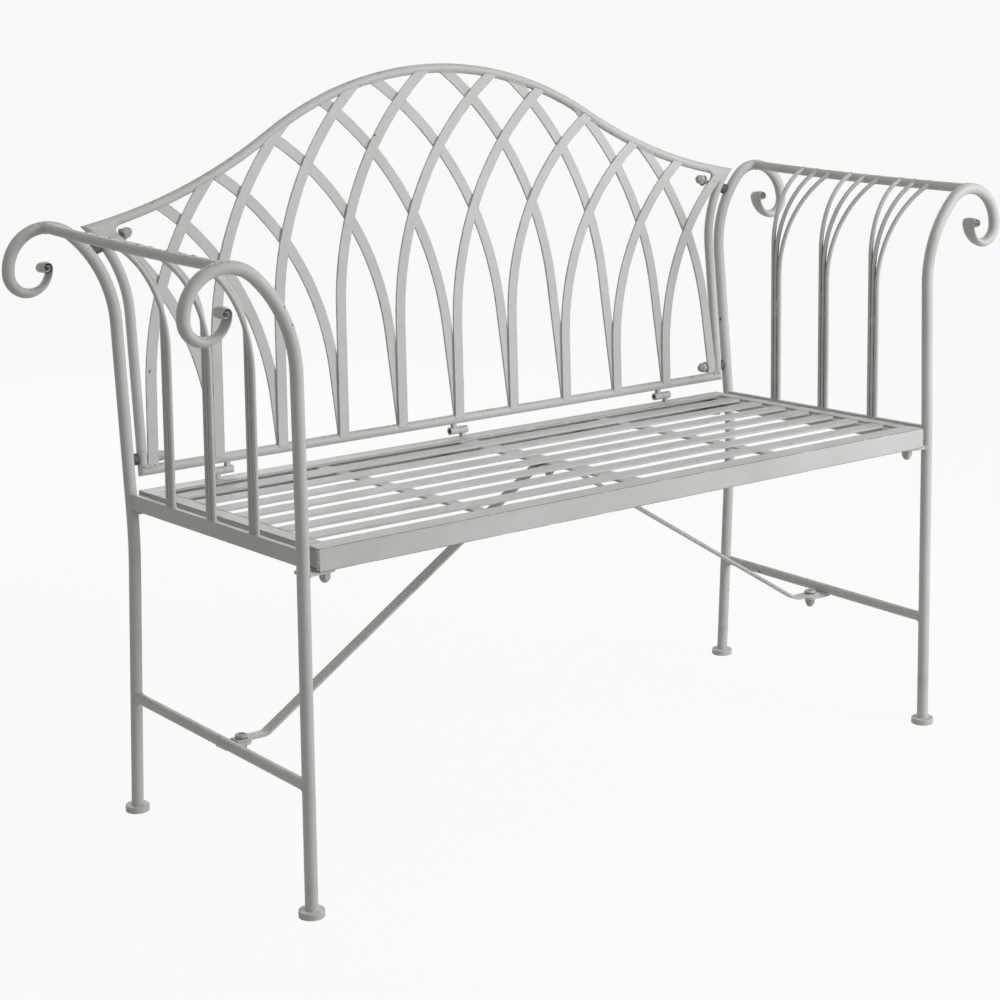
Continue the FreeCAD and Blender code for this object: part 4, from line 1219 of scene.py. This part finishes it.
@dataclass
class Fixings:
    """Hinges, braces, bolts, nuts and spacers."""

    braces: Sequence[str] = ("left_brace", "right_brace")
    knuckles: Sequence[str] = ("hinge_back_knuckles", "hinge_seat_knuckles")
    painted: Sequence[str] = ("seat_bolts", "seat_nuts", "brace_nuts", "back_nuts")
    steel: Sequence[str] = ("hinge_pins", "brace_bolts", "back_studs")
    spacers: Sequence[str] = ("back_spacers",)
    head_radius: float = 0.0085
    head_rim: float = 0.0012
    head_dome: float = 0.0034
    head_roundness: int = 4
    head_gap: float = 0.0012
    head_turn: float = 0.5
    head_segments: int = 72
    head_rings: int = 17
    cross_reach: float = 0.0046
    cross_half: float = 0.0010
    cross_depth: float = 0.0018

    def dress(self, finishes: Finishes) -> None:
        """Puts paint, steel and nylon on the small pieces.

        Args:
            finishes: The finishes.
        """
        dress(self.braces, finishes.strip_paint)
        dress(self.knuckles, finishes.tube_paint)
        dress(self.painted, finishes.fixing_paint)
        dress(self.steel, finishes.steel)
        dress(self.spacers, finishes.nylon)

    def _head_height(self, along: float, across: float) -> float:
        """Works out how high the pan head stands over its flat underside at a point.

        Args:
            along: The point's place along one arm of the cross.
            across: Its place along the other arm.

        Returns:
            The height.
        """
        out = math.hypot(along, across) / self.head_radius
        dome = math.sqrt(max(0.0, 1.0 - out ** self.head_roundness))
        height = self.head_rim + (self.head_dome - self.head_rim) * dome
        for first, second in ((along, across), (across, along)):
            if abs(first) < self.cross_reach and abs(second) < self.cross_half:
                return height - self.cross_depth
        return height

    def _pan_head(self, shape: bmesh.types.BMesh, seat: Vector) -> None:
        """Adds one round bolt head with a cross recess.

        Args:
            shape: The mesh that takes the head.
            seat: The middle of the head's flat underside.
        """
        turn = Matrix.Rotation(self.head_turn, 3, "Z")
        count = self.head_segments
        rings = []
        for ring in range(1, self.head_rings + 1):
            radius = self.head_radius * ring / self.head_rings
            row = []
            for step in range(count):
                angle = math.tau * step / count
                along = radius * math.cos(angle)
                across = radius * math.sin(angle)
                point = Vector((along, across, self._head_height(along, across)))
                row.append(shape.verts.new(seat + turn @ point))
            rings.append(row)
        under = [shape.verts.new((v.co.x, v.co.y, seat.z)) for v in rings[-1]]
        top = shape.verts.new(seat + Vector((0.0, 0.0, self._head_height(0.0, 0.0))))
        for step in range(count):
            after = (step + 1) % count
            shape.faces.new((top, rings[0][step], rings[0][after]))
            for inner, outer in zip(rings, rings[1:] + [under]):
                shape.faces.new((inner[step], outer[step], outer[after], inner[after]))
        shape.faces.new(list(reversed(under)))

    def build(self, finishes: Finishes) -> None:
        """Adds the pan heads of the bolts that hold the braces to their tabs.

        Args:
            finishes: The finishes.
        """
        shape = bmesh.new()
        for side in Side:
            low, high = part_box(f"{side.word}_brace_tab")
            near = [v.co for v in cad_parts["brace_bolts"].data.vertices
                    if low[0] <= v.co.x <= high[0]]
            crest = max(v.z for v in near)
            rim = [v for v in near if v.z > crest - self.head_gap]
            middle = sum(rim, Vector()) / len(rim)
            self._pan_head(shape, Vector((middle.x, middle.y, crest - self.head_dome + self.head_gap)))
        settle(formed("brace_bolt_heads", shape, finishes.fixing_paint))


@dataclass(frozen=True)
class PhotoCamera:
    """The camera at the photograph's angle."""

    location: Triple = (-1.864, -2.352, 1.114)
    yaw: float = math.radians(37.42)
    pitch: float = math.radians(8.26)
    roll: float = math.radians(-0.69)
    focal_pixels: float = 2219.0
    shift_down: float = 0.215

    def make(self) -> None:
        """Adds the camera and makes it the scene's."""
        forward = Vector((math.sin(self.yaw) * math.cos(self.pitch),
                          math.cos(self.yaw) * math.cos(self.pitch), -math.sin(self.pitch)))
        level = Vector((math.cos(self.yaw), -math.sin(self.yaw), 0.0))
        upright = level.cross(forward)
        right = level * math.cos(self.roll) + upright * math.sin(self.roll)
        up = upright * math.cos(self.roll) - level * math.sin(self.roll)
        lens = bpy.data.cameras.new("photo_camera")
        lens.sensor_width = SENSOR_WIDTH
        lens.lens = self.focal_pixels / PHOTO_PIXELS * SENSOR_WIDTH
        lens.shift_y = -self.shift_down
        camera = placed("photo_camera", lens)
        turned = Matrix((right, up, -forward)).transposed().to_4x4()
        camera.matrix_world = Matrix.Translation(self.location) @ turned
        bpy.context.scene.camera = camera


@dataclass(frozen=True)
class SoftLight:
    """A large soft lamp."""

    name: str
    location: Triple
    target: Triple
    width: float
    height: float
    power: float
    tint: Colour = (1.0, 1.0, 1.0)

    def make(self) -> None:
        """Adds the lamp to the scene."""
        lamp = bpy.data.lights.new(self.name, "AREA")
        lamp.shape = "RECTANGLE"
        lamp.size = self.width
        lamp.size_y = self.height
        lamp.energy = self.power
        lamp.color = self.tint
        holder = placed(self.name, lamp)
        holder.location = self.location
        aim = Vector(self.target) - Vector(self.location)
        holder.rotation_mode = "QUATERNION"
        holder.rotation_quaternion = aim.to_track_quat("-Z", "Y")


@dataclass(frozen=True)
class Studio:
    """A pale floor, a white surround and soft light."""

    floor_half: float = 90.0
    floor_colour: Colour = (0.62, 0.61, 0.59)
    floor_glow: float = 0.93
    backdrop: float = 0.97
    fill: float = 0.29
    fill_tint: Colour = (1.0, 0.978, 0.93)
    lamps: Sequence[SoftLight] = (
        SoftLight("key_lamp", location=(1.75, -2.35, 1.45), target=(0.3, 0.0, 0.45),
                  width=1.5, height=1.5, power=64.0, tint=(0.980, 0.994, 1.0)),
        SoftLight("top_lamp", location=(-0.4, -0.3, 3.2), target=(-0.1, 0.0, 0.5),
                  width=2.4, height=2.0, power=11.0),
        SoftLight("rear_lamp", location=(0.7, 3.0, 1.5), target=(0.0, 0.0, 0.45),
                  width=2.0, height=1.5, power=26.0),
    )

    @staticmethod
    def _seen(tree: NodeTree) -> NodeSocket:
        """Adds a value that is one for rays from the camera, mirrors and glass, and nothing for others.

        Args:
            tree: The tree that takes it.

        Returns:
            The value's socket.
        """
        path = tree.add("ShaderNodeLightPath")
        first = tree.math("MAXIMUM", path.outputs["Is Camera Ray"], path.outputs["Is Glossy Ray"])
        return tree.math("MAXIMUM", first, path.outputs["Is Transmission Ray"])

    def _floor(self) -> None:
        """Adds the floor."""
        material = bpy.data.materials.new("studio_floor")
        material.use_nodes = True
        tree = NodeTree(material.node_tree)
        matt = tree.add("ShaderNodeBsdfDiffuse", {"Color": (*self.floor_colour, 1.0)})
        white = tree.add("ShaderNodeEmission", {"Color": WHITE, "Strength": 1.0})
        share = tree.math("MULTIPLY", self._seen(tree), self.floor_glow)
        both = tree.add("ShaderNodeMixShader", {0: share, 1: matt.outputs[0], 2: white.outputs[0]})
        output = tree.add("ShaderNodeOutputMaterial")
        tree.join(both.outputs[0], output.inputs["Surface"])
        mesh = bpy.data.meshes.new("studio_floor")
        half = self.floor_half
        corners = [(-half, -half, 0.0), (half, -half, 0.0), (half, half, 0.0), (-half, half, 0.0)]
        mesh.from_pydata(corners, [], [(0, 1, 2, 3)])
        mesh.materials.append(material)
        placed("studio_floor", mesh)

    def _surround(self) -> None:
        """Adds a white surround that fills the shade evenly."""
        world = bpy.data.worlds.new("studio_surround")
        world.use_nodes = True
        tree = NodeTree(world.node_tree)
        fill = tree.add("ShaderNodeBackground", {"Color": (*self.fill_tint, 1.0), "Strength": self.fill})
        white = tree.add("ShaderNodeBackground", {"Color": WHITE, "Strength": self.backdrop})
        seen = self._seen(tree)
        both = tree.add("ShaderNodeMixShader", {0: seen, 1: fill.outputs[0], 2: white.outputs[0]})
        output = tree.add("ShaderNodeOutputWorld")
        tree.join(both.outputs[0], output.inputs["Surface"])
        bpy.context.scene.world = world

    def make(self) -> None:
        """Sets up the floor, the surround and the lamps."""
        self._floor()
        self._surround()
        for lamp in self.lamps:
            lamp.make()
        bpy.context.scene.view_settings.view_transform = "Standard"


def main() -> None:
    """Builds and dresses the bench, then sets the camera and the light."""
    logging.basicConfig(level=logging.INFO, format="%(name)s: %(message)s")
    PhotoCamera().make()
    finishes = Finishes.make()
    welds = Welds()
    spots = WeldSpots()
    for side in Side:
        end = EndFrame(side)
        end.dress(finishes)
        end.build(welds, spots, finishes)
    seat = Seat()
    seat.dress(finishes)
    seat.build(welds, finishes)
    back = Back()
    back.dress(finishes)
    back.build(welds, spots, finishes)
    fixings = Fixings()
    fixings.dress(finishes)
    fixings.build(finishes)
    Studio().make()


if __name__ == "__main__":
    main()
